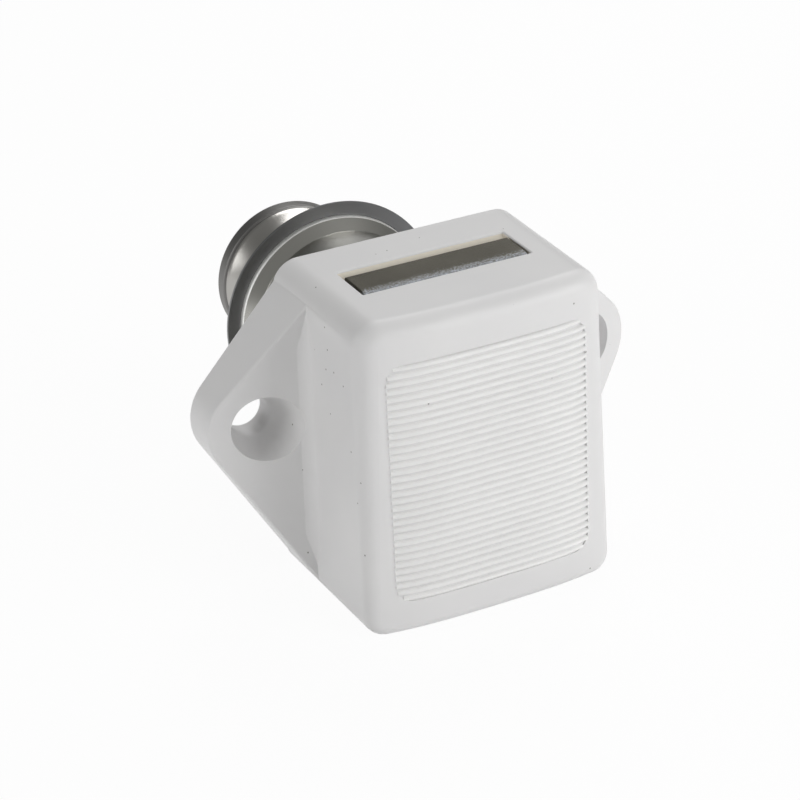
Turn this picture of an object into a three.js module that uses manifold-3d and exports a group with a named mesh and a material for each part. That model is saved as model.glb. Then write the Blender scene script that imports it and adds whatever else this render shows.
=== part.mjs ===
// Push-button furniture latch. A knob on the outer face of a door drives a dead bolt that slides
// in a moulded housing on the door's inner face. A heart-shaped track holds the knob in when it is
// pushed, and lets it spring out when it is pushed again. Shown with the knob out and the bolt in.
// Millimetres, +Z up. The origin is on the knob's axis, on the door's inner face; +Y runs through
// the door to the knob.

import * as THREE from 'three';
import { mergeVertices } from 'three/addons/utils/BufferGeometryUtils.js';
import Module from 'manifold-3d';

const wasm = await Module();
wasm.setup();

// Clearances
const PLAY = 0.3; // between pieces that slide or turn on each other
const FACE_GAP = 0.1; // between flat faces that seat on each other
const CUT_MARGIN = 1; // how far a cutter runs past the face that it opens
const ROOT = 0.5; // how far a rib or boss runs into the wall that carries it

// Housing
const BOX_WIDTH = 28;
const BOX_RISE = 15.9; // knob axis up to the top face
const BOX_DROP = 19.65; // knob axis down to the bottom face
const BOX_DEPTH = 20.5; // door face to the crest of the crowned front
const FRONT_CROWN = 1.2; // how far the front falls back at the flanks
const CROWN_POWER = 3; // how late it falls back towards them
const FLANK_SPREAD = 0.5; // how far each flank stands out further at the bottom than at the top
const FLANK_DRAFT = 0.4; // how far each flank stands out further at the door than at the front
const BOX_CORNER = 2.8; // radius of the two upper edges that run along Y
const BOX_FOOT_CORNER = 2.1; // radius of the two lower ones
const FRONT_EDGE = 1.2; // radius round the front face
const SIDE_WALL = 1.8;
const RAIL_DEPTH = 1.8; // thickness of the rails that guide the bolt
const FRONT_WALL = 2.1;

// Screw ears, which taper outwards
const EAR_HOLE_SPACING = 38.2;
const EAR_HOLE_RISE = 0.7; // screw holes above the knob axis
const EAR_RADIUS = 5.7;
const EAR_TIP_DROP = 0.4; // middle of the ear's round tip below its screw hole
const EAR_TIP_THICKNESS = 4.7;
const EAR_SLOPE = 0.29; // growth of thickness for each millimetre inwards
const EAR_FOOT_RADIUS = 3;
const EAR_FOOT_OVERHANG = 0.25; // how far the ear stands past the flank at the bottom corner
const EAR_ROOT_FILLET = 2.2;
const SCREW_HOLE_RADIUS = 2.2;
const SCREW_HEAD_RADIUS = 3.8; // of the countersink at the ear's face
const SCREW_SEAT = 2.3; // door face to the small end of the countersink

// Ribbed grip panel on the front
const RIB_COUNT = 33;
const RIB_PITCH = 0.826;
const RIB_HEIGHT = 0.32;
const RIB_CRESTS = [0.15, 0.5, 0.85]; // places across one rib, as shares of the pitch
const RIB_FULLNESS = 0.6; // below 1 for a rib fuller than a sine wave
const PANEL_WIDTH = 22.7;
const PANEL_TOP = 11.4; // above the knob axis
const PANEL_CORNER = 2;

// Dead bolt and the slot that it comes out of
const BOLT_WIDTH = 18.9;
const BOLT_THICKNESS = 4.85;
const BOLT_FRONT = 11.9; // door face to the bolt's front face
const BOLT_NOSE_RUN = 1.9; // width of the curve along the bolt's front edge
const BOLT_NOSE_DROP = 0.35; // depth of that curve
const BOLT_REST_DEPTH = 0.05; // below the housing's top face when drawn in
const BOLT_THROW = 8; // when the knob is held in
const SLOT_SIDE_GAP = 0.25;
const SLOT_FRONT_GAP = 0.12;
const SLOT_BACK_GAP = 1.3;
const CHEEK_THICKNESS = 2.2;
const CHEEK_EDGE = 1.45; // metal left round the cam slot
const CHEEK_GAP = 0.5; // cheek to plunger

// Plunger and its pins
const PLUNGER_WIDTH = 10.4;
const PLUNGER_TOP = 3.7; // above the knob axis
const PLUNGER_HEADROOM = 0.6; // below the bolt's head
const PLUNGER_BOTTOM = 5.3; // below the knob axis
const PLUNGER_TAIL = 11; // door face to the outer end
const PLUNGER_NOSE = 1.2; // plunger ahead of the drive pins
const PLUNGER_CHAMFER = 1;
const DRIVE_PIN_RADIUS = 1;
const DRIVE_PIN_SEAT = 1.8; // length pressed into the plunger
const SPRING_POCKET_END = 1.5; // outer end of the spring pocket, past the door face
const OVERTRAVEL = 0.8; // past the held position, to let the track release

// Return spring
const SPRING_RADIUS = 1.9; // to the middle of the wire
const SPRING_WIRE = 0.6;
const SPRING_TURNS = 10;
const SPRING_STEPS = 8; // steps in a turn
const SPRING_SIDES = 5;
const SPRING_POST_LENGTH = 4.5;
const SPRING_PLAY = 0.4; // round the spring in its pocket, and round the post in the spring

// Heart-shaped track and the wire that follows it
const FOLLOWER_WIRE = 1;
const FOLLOWER_BEND = 1.1;
const FOLLOWER_PIVOT_SETBACK = 3.2; // housing's inner front wall to the pivot
const FOLLOWER_LEG = 4.3; // below the arm
const FOLLOWER_STEPS = 24; // along the wire
const TRACK_DEPTH = 1.1;
const TRACK_PLAY = 0.4; // each side of the wire
const TRACK_EDGE = 0.8; // wall left at the plunger's inner end
const LANE_OFFSET = 2.2; // middle of the plunger to the start of the lane
const RETURN_LANE_OFFSET = 2.9;
const LEAF_THICKNESS = 0.3;
const LEAF_WIDTH = 4;
const LEAF_RISE = 0.55; // how far the free end is bent up
const LEAF_REACH = 6.5; // past the pivot
const SHELF_WIDTH = 7;
const SHELF_HEIGHT = 4.6;
const SHELF_TIP = 2.2; // past the pivot

// Cover in the housing's mouth
const COVER_THICKNESS = 2;
const SPIGOT_LENGTH = 4;
const SPIGOT_WALL = 0.9;
const COVER_SCREW_RADIUS = 0.9;
const COVER_SCREW_HEAD = 1.9;
const COVER_SCREW_LENGTH = 9;
const COVER_SCREW_INSET = 2.2; // from the cavity's lower corner, both ways
const COVER_BOSS_RADIUS = 2.4;
const COVER_BOSS_LENGTH = 10;
const TONGUE_WIDTH = 3;
const TONGUE_OFFSET = 6; // from the middle
const TONGUE_REACH = 0.8;
const TONGUE_THICKNESS = 0.7;

// Sleeve through the door, rosette and knob
const DOOR_GRIP = 17.2; // door face to rosette
const SLEEVE_OUTER = 10.1;
const SLEEVE_INNER = 9;
const SLEEVE_END = 1.8; // past the rosette's door side
const FLARE_RADIUS = 11.2;
const FLARE_LENGTH = 2;
const ROSETTE_RADIUS = 13;
const ROSETTE_THICKNESS = 1.95;
const ROSETTE_EDGE = 0.2; // thickness at the rim
const ROSETTE_RECESS = 0.4; // depth of the recess that takes the sleeve's flare
const KNOB_RADIUS = 8.7;
const KNOB_REACH = 30.4; // door's inner face to the middle of the knob's face
const KNOB_CROWN = 0.35;
const KNOB_CROWN_RING = 0.6; // share of the radius at which the crowned face is split
const KNOB_RIM = 1.9; // thickness of the rim
const KNOB_RIM_ROUND = 0.45;
const KNOB_GROOVE = 0.25;
const KNOB_WAIST = 6.4;
const KNOB_FLARE_POWER = 2.5; // how late the neck widens towards the rim
const KNOB_SOCKET = 8.4; // depth of the stem's hole
const STEM_RADIUS = 3;
const STEM_SEAT = 7.8; // depth of the stem's hole in the plunger
const STEM_PIN_RADIUS = 0.8;

// Facets
const ARC_STEPS = 6;
const ROUND_STEPS = 40;
const BORE_STEPS = 24;
const PIN_STEPS = 16;
const FRONT_STEPS = 6;

// Places worked out from the sizes above
const halfWidth = BOX_WIDTH / 2;
const cavityHalf = halfWidth - SIDE_WALL;
const cavityTop = BOX_RISE - SIDE_WALL;
const cavityBottom = -(BOX_DROP - SIDE_WALL);
const cavityFront = -(BOX_DEPTH - FRONT_WALL);
const coverInner = -COVER_THICKNESS;
const slotHalf = DRIVE_PIN_RADIUS + PLAY;
const cheekBack = coverInner - PLAY;
const cheekFront = cavityFront + PLAY;
const drivePinY = cheekBack - CHEEK_EDGE - slotHalf;
const pushTravel = drivePinY - (cheekFront + CHEEK_EDGE + slotHalf);
const latchTravel = pushTravel - OVERTRAVEL;
const camRatio = BOLT_THROW / latchTravel;
const plungerHalf = PLUNGER_WIDTH / 2;
const plungerFront = drivePinY - DRIVE_PIN_RADIUS - PLUNGER_NOSE;
const cheekInner = plungerHalf + CHEEK_GAP;
const cheekOuter = cheekInner + CHEEK_THICKNESS;
const boltTop = BOX_RISE - BOLT_REST_DEPTH;
const boltHeadBottom = PLUNGER_TOP + PLUNGER_HEADROOM;
const spigotOuter = SLEEVE_INNER - PLAY;
const springOuter = SPRING_RADIUS + SPRING_WIRE / 2;
const springInner = SPRING_RADIUS - SPRING_WIRE / 2;
const springPocketRadius = springOuter + SPRING_PLAY;
const wireRadius = FOLLOWER_WIRE / 2;
const laneHalf = wireRadius + TRACK_PLAY;
const trackFloor = -(PLUNGER_BOTTOM - TRACK_DEPTH);
const pivotY = cavityFront + FOLLOWER_PIVOT_SETBACK;
const tipY = plungerFront + TRACK_EDGE + laneHalf;
const armLength = Math.hypot(tipY - pivotY, LANE_OFFSET);
const startAngle = Math.atan2(LANE_OFFSET, tipY - pivotY);
const armZ = -(PLUNGER_BOTTOM + TRACK_PLAY + wireRadius);
const leafTipTop = armZ - wireRadius - PLAY;
const shelfTop = leafTipTop - LEAF_RISE - LEAF_THICKNESS - FACE_GAP;
const tongueLow = -(COVER_THICKNESS + TONGUE_THICKNESS) / 2;
const tongueHigh = tongueLow + TONGUE_THICKNESS;
const coverScrewX = cavityHalf - COVER_SCREW_INSET;
const coverScrewZ = cavityBottom + COVER_SCREW_INSET;
const knobRimBack = KNOB_REACH - KNOB_CROWN - KNOB_RIM;
const knobNeckEnd = DOOR_GRIP + FACE_GAP;

// A closed mesh as a solid, ready to be joined or cut
function solid(geometry) {
  const bare = geometry.clone();
  bare.deleteAttribute('normal');
  bare.deleteAttribute('uv');
  const merged = mergeVertices(bare, 1e-4);
  return new wasm.Manifold(new wasm.Mesh({
    numProp: 3,
    vertProperties: new Float32Array(merged.attributes.position.array),
    triVerts: new Uint32Array(merged.index.array),
  }));
}

// A solid back as a geometry
function geometryOf(body) {
  const mesh = body.getMesh();
  const geometry = new THREE.BufferGeometry();
  geometry.setAttribute('position', new THREE.BufferAttribute(mesh.vertProperties, 3));
  geometry.setIndex(new THREE.BufferAttribute(mesh.triVerts, 1));
  geometry.computeVertexNormals();
  return geometry;
}

// An outline of X and Z, extruded along Y from its outer end to its inner end
function prismY(shape, outer, inner, curveSegments = ARC_STEPS) {
  const options = { depth: outer - inner, bevelEnabled: false, curveSegments };
  const geometry = new THREE.ExtrudeGeometry(shape, options);
  return geometry.rotateX(Math.PI / 2).translate(0, outer, 0);
}

// An outline of X and Y, extruded up
function prismZ(shape, low, high, curveSegments = ARC_STEPS) {
  const options = { depth: high - low, bevelEnabled: false, curveSegments };
  return new THREE.ExtrudeGeometry(shape, options).translate(0, 0, low);
}

// An outline of Y and Z, extruded along X
function prismX(shape, low, high, steps = 1) {
  const options = { depth: high - low, steps, bevelEnabled: false, curveSegments: ARC_STEPS };
  const geometry = new THREE.ExtrudeGeometry(shape, options);
  const axes = new THREE.Matrix4().makeBasis(
    new THREE.Vector3(0, 1, 0),
    new THREE.Vector3(0, 0, 1),
    new THREE.Vector3(1, 0, 0),
  );
  return geometry.applyMatrix4(axes).translate(low, 0, 0);
}

function box(xLow, xHigh, yLow, yHigh, zLow, zHigh) {
  const geometry = new THREE.BoxGeometry(xHigh - xLow, yHigh - yLow, zHigh - zLow);
  return geometry.translate((xLow + xHigh) / 2, (yLow + yHigh) / 2, (zLow + zHigh) / 2);
}

// A rod along Y
function rodY(radius, yLow, yHigh, x = 0, z = 0, sides = BORE_STEPS) {
  const geometry = new THREE.CylinderGeometry(radius, radius, yHigh - yLow, sides);
  return geometry.translate(x, (yLow + yHigh) / 2, z);
}

// A rod along X
function rodX(radius, xLow, xHigh, y, z, sides = PIN_STEPS) {
  const geometry = new THREE.CylinderGeometry(radius, radius, xHigh - xLow, sides);
  return geometry.rotateZ(-Math.PI / 2).translate((xLow + xHigh) / 2, y, z);
}

// An upright rod on the housing's middle plane
function rodZ(radius, zLow, zHigh, y) {
  const geometry = new THREE.CylinderGeometry(radius, radius, zHigh - zLow, PIN_STEPS);
  return geometry.rotateX(Math.PI / 2).translate(0, y, (zLow + zHigh) / 2);
}

// Each vertex of a geometry moved by a rule
function moveVertices(geometry, rule) {
  const position = geometry.attributes.position;
  const point = new THREE.Vector3();
  for (let i = 0; i < position.count; i += 1) {
    rule(point.fromBufferAttribute(position, i));
    position.setXYZ(i, ...point.toArray());
  }
}

// A profile of radius and Y turned about the Y axis
function turned(points, sides = ROUND_STEPS) {
  return new THREE.LatheGeometry(points.map(([radius, y]) => new THREE.Vector2(radius, y)), sides);
}

// Points along an arc, from one angle to another in degrees
function arc(centreA, centreB, radius, from, to, steps) {
  return Array.from({ length: steps + 1 }, (_, i) => {
    const angle = THREE.MathUtils.degToRad(from + ((to - from) * i) / steps);
    return [centreA + radius * Math.cos(angle), centreB + radius * Math.sin(angle)];
  });
}

function polygon(points) {
  return new THREE.Shape(points.map(([a, b]) => new THREE.Vector2(a, b)));
}

function roundedRectangle(left, right, bottom, top, radius) {
  const shape = new THREE.Shape();
  shape.absarc(right - radius, top - radius, radius, 0, Math.PI / 2);
  shape.absarc(left + radius, top - radius, radius, Math.PI / 2, Math.PI);
  shape.absarc(left + radius, bottom + radius, radius, Math.PI, 1.5 * Math.PI);
  shape.absarc(right - radius, bottom + radius, radius, 1.5 * Math.PI, 2 * Math.PI);
  return shape;
}

// A slot with round ends between two points
function slotShape([fromA, fromB], [toA, toB], radius) {
  const along = Math.atan2(toB - fromB, toA - fromA);
  const shape = new THREE.Shape();
  shape.absarc(fromA, fromB, radius, along + Math.PI / 2, along + 1.5 * Math.PI);
  shape.absarc(toA, toB, radius, along - Math.PI / 2, along + Math.PI / 2);
  return shape;
}

// The outline of a tight band round circles that are listed anticlockwise
function bandShape(circles) {
  const normals = circles.map((from, i) => {
    const to = circles[(i + 1) % circles.length];
    const distance = Math.hypot(to.x - from.x, to.z - from.z);
    const along = Math.atan2(to.z - from.z, to.x - from.x);
    return along - Math.acos((from.r - to.r) / distance);
  });
  const shape = new THREE.Shape();
  circles.forEach((circle, i) => {
    const arriving = normals[(i + circles.length - 1) % circles.length];
    const turn = THREE.MathUtils.euclideanModulo(normals[i] - arriving, 2 * Math.PI);
    shape.absarc(circle.x, circle.z, circle.r, arriving, arriving + turn);
  });
  return shape;
}

// How far the crowned front falls back at a place across the housing
function crownAt(x) {
  return FRONT_CROWN * Math.abs(x / halfWidth) ** CROWN_POWER;
}

// A place across the housing, spread outwards towards the bottom and the door as the flanks are
function spreadAt(x, y, z) {
  const down = (BOX_RISE - z) / (BOX_RISE + BOX_DROP);
  const back = 1 + y / BOX_DEPTH;
  return x * (1 + (FLANK_SPREAD * down + FLANK_DRAFT * back) / halfWidth);
}

// Half of the housing's outline, from right to left: two rounded corners and the edge between them
function outlineChain(inset, corner) {
  const radius = corner - Math.min(inset, corner / 2);
  const reach = halfWidth - inset - radius;
  const right = arc(reach, -radius, radius, 0, 90, ARC_STEPS);
  const left = right.map(([x, z]) => [-x, z]).reverse();
  const flat = Array.from({ length: FRONT_STEPS - 1 }, (_, i) => [
    reach - (2 * reach * (i + 1)) / FRONT_STEPS,
    0,
  ]);
  return [...right, ...flat, ...left];
}

// One closed ring of the housing's outline, drawn in by an inset: the upper half runs from right
// to left and the lower half back, point for point, so the front can be ruled between them
function outlineRing(inset, y, crowned) {
  const upper = outlineChain(inset, BOX_CORNER).map(([x, z]) => [x, BOX_RISE - inset + z]);
  const lower = outlineChain(inset, BOX_FOOT_CORNER).map(([x, z]) => [x, inset - BOX_DROP - z]);
  lower.reverse();
  return [...upper, ...lower].map(([x, z]) => {
    const pointY = y + (crowned ? crownAt(x) : 0);
    return [spreadAt(x, pointY, z), pointY, z];
  });
}

// The housing's outer block: straight flanks, then a rounded edge into the crowned front
function housingBlock() {
  const rings = [outlineRing(0, 0, false)];
  for (let i = 0; i <= ARC_STEPS; i += 1) {
    const angle = (i / ARC_STEPS) * (Math.PI / 2);
    const inset = FRONT_EDGE * (1 - Math.cos(angle));
    rings.push(outlineRing(inset, -(BOX_DEPTH - FRONT_EDGE) - FRONT_EDGE * Math.sin(angle), true));
  }
  const count = rings[0].length;
  const triangles = [];
  for (let r = 0; r < rings.length - 1; r += 1) {
    for (let i = 0; i < count; i += 1) {
      const next = (i + 1) % count;
      const a = r * count + i;
      const b = r * count + next;
      triangles.push(a, b, a + count, b, b + count, a + count);
    }
  }
  const front = (rings.length - 1) * count;
  for (let i = 0; i < count / 2 - 1; i += 1) {
    const upper = i;
    const lower = count - 1 - i;
    triangles.push(upper, lower, upper + 1, upper + 1, lower, lower - 1);
    triangles.push(front + upper, front + upper + 1, front + lower);
    triangles.push(front + upper + 1, front + lower - 1, front + lower);
  }
  const geometry = new THREE.BufferGeometry();
  geometry.setAttribute('position', new THREE.Float32BufferAttribute(rings.flat(2), 3));
  geometry.setIndex(triangles);
  return geometry;
}

// One screw ear with its sloping face, the fillet into the flank, and its countersunk hole
function screwEar(side) {
  const holeX = EAR_HOLE_SPACING / 2;
  const tip = holeX + EAR_RADIUS;
  const footX = spreadAt(halfWidth, 0, -BOX_DROP) + EAR_FOOT_OVERHANG - EAR_FOOT_RADIUS;
  const circles = [
    { x: footX, z: -BOX_DROP + EAR_FOOT_RADIUS, r: EAR_FOOT_RADIUS },
    { x: holeX, z: EAR_HOLE_RISE - EAR_TIP_DROP, r: EAR_RADIUS },
    { x: halfWidth - BOX_CORNER, z: BOX_RISE - BOX_CORNER, r: BOX_CORNER },
  ];
  const placed = side > 0 ? circles : circles.map((c) => ({ ...c, x: -c.x })).reverse();
  const thickness = (x) => EAR_TIP_THICKNESS + EAR_SLOPE * (tip - Math.abs(x));
  const outline = bandShape(placed);
  const plate = prismY(outline, 0, -1);
  moveVertices(plate, (point) => point.setY(point.y * thickness(point.x)));
  const cornerY = -thickness(halfWidth);
  const slopeAngle = THREE.MathUtils.radToDeg(Math.atan(EAR_SLOPE));
  const reach = EAR_ROOT_FILLET * Math.tan(THREE.MathUtils.degToRad((90 - slopeAngle) / 2));
  const centre = [halfWidth + EAR_ROOT_FILLET, cornerY - reach];
  const filletShape = polygon([
    [halfWidth - ROOT, cornerY - reach],
    ...arc(...centre, EAR_ROOT_FILLET, 180, 90 + slopeAngle, ARC_STEPS),
    [halfWidth - ROOT, cornerY + ROOT],
  ].map(([x, y]) => [side * x, y]));
  const filletPrism = prismZ(filletShape, -BOX_DROP, BOX_RISE);
  moveVertices(filletPrism, (point) => point.setX(spreadAt(point.x, point.y, point.z)));
  const fillet = solid(filletPrism).intersect(solid(prismY(outline, 0, -BOX_DEPTH)));
  const face = thickness(holeX);
  const mouth = thickness(holeX - SCREW_HEAD_RADIUS);
  const growth = (SCREW_HEAD_RADIUS - SCREW_HOLE_RADIUS) / (face - SCREW_SEAT);
  const mouthRadius = SCREW_HEAD_RADIUS + growth * (mouth - face);
  const cutter = turned([
    [0, -BOX_DEPTH],
    [mouthRadius, -BOX_DEPTH],
    [mouthRadius, -mouth],
    [SCREW_HOLE_RADIUS, -SCREW_SEAT],
    [SCREW_HOLE_RADIUS, CUT_MARGIN],
    [0, CUT_MARGIN],
  ], BORE_STEPS).translate(side * holeX, 0, EAR_HOLE_RISE);
  return solid(plate).add(fillet).subtract(solid(cutter));
}

// The raised ribs of the grip panel as one comb, bent to the crowned front
function gripRibs() {
  const bottom = PANEL_TOP - RIB_COUNT * RIB_PITCH;
  const comb = [[ROOT, PANEL_TOP], [ROOT, bottom]];
  for (let i = 0; i < RIB_COUNT; i += 1) {
    comb.push([0, bottom + i * RIB_PITCH]);
    RIB_CRESTS.forEach((share) => {
      const height = RIB_HEIGHT * Math.sin(share * Math.PI) ** RIB_FULLNESS;
      comb.push([-height, bottom + (i + share) * RIB_PITCH]);
    });
  }
  comb.push([0, PANEL_TOP]);
  const ribs = prismX(polygon(comb.reverse()), -PANEL_WIDTH / 2, PANEL_WIDTH / 2, FRONT_STEPS);
  moveVertices(ribs, (point) => point.setY(point.y - BOX_DEPTH + crownAt(point.x)));
  const panel = roundedRectangle(-PANEL_WIDTH / 2, PANEL_WIDTH / 2, bottom, PANEL_TOP, PANEL_CORNER);
  return solid(ribs).intersect(solid(prismY(panel, -BOX_DEPTH / 2, -2 * BOX_DEPTH)));
}

// White moulded housing: shell, ears, grip ribs, bolt slot and the inner guides
function housing() {
  const cavity = box(-cavityHalf, cavityHalf, cavityFront, CUT_MARGIN, cavityBottom, cavityTop);
  let body = solid(housingBlock()).add(screwEar(1)).add(screwEar(-1)).add(gripRibs());
  body = body.subtract(solid(cavity));

  // Slot for the bolt in the top wall
  const slotX = BOLT_WIDTH / 2 + SLOT_SIDE_GAP;
  const slotFront = -(BOLT_FRONT + SLOT_FRONT_GAP);
  const slotBack = -BOLT_FRONT + BOLT_THICKNESS + SLOT_BACK_GAP;
  const slotZ = [cavityTop - CUT_MARGIN, BOX_RISE + CUT_MARGIN];
  body = body.subtract(solid(box(-slotX, slotX, slotFront, slotBack, ...slotZ)));

  // Upright rails beside the bolt's cheeks, bosses for the cover screws, pockets for the tongues
  const railInner = cheekOuter + PLAY;
  const railTop = cavityTop - SIDE_WALL;
  const railBottom = coverScrewZ + COVER_BOSS_RADIUS + PLAY;
  const railZ = [railBottom, railTop];
  const bossY = [coverInner - COVER_BOSS_LENGTH, coverInner - FACE_GAP];
  const pilotY = [-COVER_SCREW_LENGTH - PLAY, CUT_MARGIN];
  const pocketHalf = TONGUE_WIDTH / 2 + PLAY;
  const pocketY = [tongueLow - PLAY, tongueHigh + PLAY];
  const pocketZ = [cavityTop - ROOT, cavityTop + TONGUE_REACH];
  for (const side of [-1, 1]) {
    const railEnds = [side * railInner, side * (cavityHalf + ROOT)];
    const railX = [Math.min(...railEnds), Math.max(...railEnds)];
    const frontRail = box(...railX, cavityFront - ROOT, cavityFront + RAIL_DEPTH, ...railZ);
    const backRail = box(...railX, cheekBack - RAIL_DEPTH, cheekBack, ...railZ);
    body = body.add(solid(frontRail)).add(solid(backRail));
    const screwX = side * coverScrewX;
    const boss = rodY(COVER_BOSS_RADIUS, ...bossY, screwX, coverScrewZ);
    const pilot = rodY(COVER_SCREW_RADIUS + PLAY, ...pilotY, screwX, coverScrewZ);
    body = body.add(solid(boss)).subtract(solid(pilot));
    const pocketX = [side * TONGUE_OFFSET - pocketHalf, side * TONGUE_OFFSET + pocketHalf];
    body = body.subtract(solid(box(...pocketX, ...pocketY, ...pocketZ)));
  }

  // Post inside the return spring, and the shelf that the track wire turns in
  const postEnd = cavityFront + SPRING_POST_LENGTH;
  const post = rodY(springInner - SPRING_PLAY, cavityFront - ROOT, postEnd);
  const shelfY = [cavityFront - ROOT, pivotY + SHELF_TIP];
  const shelfZ = [shelfTop - SHELF_HEIGHT, shelfTop];
  const shelf = box(-SHELF_WIDTH / 2, SHELF_WIDTH / 2, ...shelfY, ...shelfZ);
  const pivotHole = rodZ(wireRadius + PLAY, armZ - FOLLOWER_LEG - PLAY, armZ, pivotY);
  return geometryOf(body.add(solid(post)).add(solid(shelf)).subtract(solid(pivotHole)));
}

// Cover in the housing's mouth, with the short spigot that carries the sleeve
function baseCover() {
  const edge = cavityHalf - PLAY;
  const plate = roundedRectangle(-edge, edge, cavityBottom + PLAY, cavityTop - PLAY, PLAY);
  let body = solid(prismY(plate, 0, coverInner));
  body = body.add(solid(rodY(spigotOuter, coverInner, SPIGOT_LENGTH, 0, 0, ROUND_STEPS)));
  const boreY = [coverInner - CUT_MARGIN, SPIGOT_LENGTH + CUT_MARGIN];
  body = body.subtract(solid(rodY(spigotOuter - SPIGOT_WALL, ...boreY, 0, 0, ROUND_STEPS)));
  const tongueZ = [cavityTop - PLAY - ROOT, cavityTop + TONGUE_REACH - PLAY];
  const headTop = COVER_SCREW_HEAD + PLAY;
  const shank = COVER_SCREW_RADIUS + PLAY;
  for (const side of [-1, 1]) {
    const screwHole = turned([
      [0, coverInner - CUT_MARGIN],
      [shank, coverInner - CUT_MARGIN],
      [shank, shank - headTop],
      [headTop, 0],
      [headTop, CUT_MARGIN],
      [0, CUT_MARGIN],
    ], BORE_STEPS).translate(side * coverScrewX, 0, coverScrewZ);
    const tongueX = [side * TONGUE_OFFSET - TONGUE_WIDTH / 2, side * TONGUE_OFFSET + TONGUE_WIDTH / 2];
    const tongue = box(...tongueX, tongueLow, tongueHigh, ...tongueZ);
    body = body.subtract(solid(screwHole)).add(solid(tongue));
  }
  return geometryOf(body);
}

// Countersunk screw that holds the cover
function coverScrew(side) {
  return turned([
    [0, -COVER_SCREW_LENGTH],
    [COVER_SCREW_RADIUS, -COVER_SCREW_LENGTH + COVER_SCREW_RADIUS],
    [COVER_SCREW_RADIUS, COVER_SCREW_RADIUS - COVER_SCREW_HEAD - FACE_GAP],
    [COVER_SCREW_HEAD, -FACE_GAP],
    [0, -FACE_GAP],
  ], PIN_STEPS).translate(side * coverScrewX, 0, coverScrewZ);
}

// Polished sleeve through the door, with a flare that lies in the rosette's recess
function guideSleeve() {
  const shoulder = DOOR_GRIP + ROSETTE_RECESS - FACE_GAP;
  const end = DOOR_GRIP + SLEEVE_END;
  const lip = (SLEEVE_OUTER - SLEEVE_INNER) / 2;
  const flareStart = shoulder - FLARE_LENGTH;
  const flareArc = arc(FLARE_RADIUS, flareStart, FLARE_RADIUS - SLEEVE_OUTER, 180, 90, ARC_STEPS / 2);
  return turned([
    [SLEEVE_INNER, FACE_GAP],
    [SLEEVE_OUTER, FACE_GAP],
    ...flareArc,
    [FLARE_RADIUS, shoulder],
    [SLEEVE_OUTER, shoulder],
    [SLEEVE_OUTER, end - lip],
    [SLEEVE_INNER + lip, end],
    [SLEEVE_INNER, end],
    [SLEEVE_INNER, FACE_GAP],
  ]);
}

// Rosette: a flat face to the door and a thin edge, swelling to the bore, with a recess at the back
function rosetteRing() {
  const bore = SLEEVE_OUTER + PLAY;
  const dome = ROSETTE_THICKNESS - ROSETTE_EDGE;
  const crest = Array.from({ length: ARC_STEPS + 1 }, (_, i) => {
    const share = i / ARC_STEPS;
    return [
      ROSETTE_RADIUS - (ROSETTE_RADIUS - bore) * share,
      DOOR_GRIP + ROSETTE_EDGE + dome * Math.sin((share * Math.PI) / 2),
    ];
  });
  const recess = FLARE_RADIUS + PLAY;
  const recessFloor = DOOR_GRIP + ROSETTE_RECESS;
  return turned([
    [bore, recessFloor],
    [recess, recessFloor],
    [recess, DOOR_GRIP],
    [ROSETTE_RADIUS, DOOR_GRIP],
    ...crest,
    [bore, recessFloor],
  ]);
}

// Knob: a rimmed head on a waisted neck, with a blind hole for the stem
function knob() {
  const rimFront = KNOB_REACH - KNOB_CROWN;
  const neckStart = knobRimBack - KNOB_GROOVE;
  const waist = Array.from({ length: 2 * ARC_STEPS + 1 }, (_, i) => {
    const share = i / (2 * ARC_STEPS);
    const y = knobNeckEnd + (neckStart - knobNeckEnd) * share;
    const flare = (KNOB_RADIUS - KNOB_GROOVE - KNOB_WAIST) * share ** KNOB_FLARE_POWER;
    return [KNOB_WAIST + flare, y];
  });
  const hole = STEM_RADIUS + PLAY;
  const roundCentre = [KNOB_RADIUS - KNOB_RIM_ROUND, rimFront - KNOB_RIM_ROUND];
  return turned([
    [0, knobNeckEnd + KNOB_SOCKET],
    [hole, knobNeckEnd + KNOB_SOCKET],
    [hole, knobNeckEnd],
    ...waist,
    [KNOB_RADIUS - KNOB_GROOVE, knobRimBack],
    [KNOB_RADIUS, knobRimBack + KNOB_GROOVE],
    ...arc(...roundCentre, KNOB_RIM_ROUND, 0, 90, ARC_STEPS / 2),
    [KNOB_RADIUS * KNOB_CROWN_RING, rimFront + KNOB_CROWN * (1 - KNOB_CROWN_RING ** 2)],
    [0, KNOB_REACH],
  ]);
}

// Steel stem between knob and plunger, cross-drilled for its pin
function knobStem() {
  const inner = PLUNGER_TAIL - STEM_SEAT + PLAY;
  const outer = knobNeckEnd + KNOB_SOCKET - PLAY;
  const reach = STEM_RADIUS + CUT_MARGIN;
  const pinHole = rodX(STEM_PIN_RADIUS + PLAY, -reach, reach, stemPinY(), 0);
  return geometryOf(solid(rodY(STEM_RADIUS, inner, outer)).subtract(solid(pinHole)));
}

// The stem's pin sits halfway down the stem's hole in the plunger
function stemPinY() {
  return PLUNGER_TAIL - STEM_SEAT / 2;
}

function stemPin() {
  return rodX(STEM_PIN_RADIUS, -plungerHalf + FACE_GAP, plungerHalf - FACE_GAP, stemPinY(), 0);
}

// Where the wire's tip lies on the plunger, after a push
function trackPoint(push) {
  const angle = startAngle * (1 - push / latchTravel);
  return [-armLength * Math.sin(angle), pivotY + armLength * Math.cos(angle) + push];
}

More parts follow.
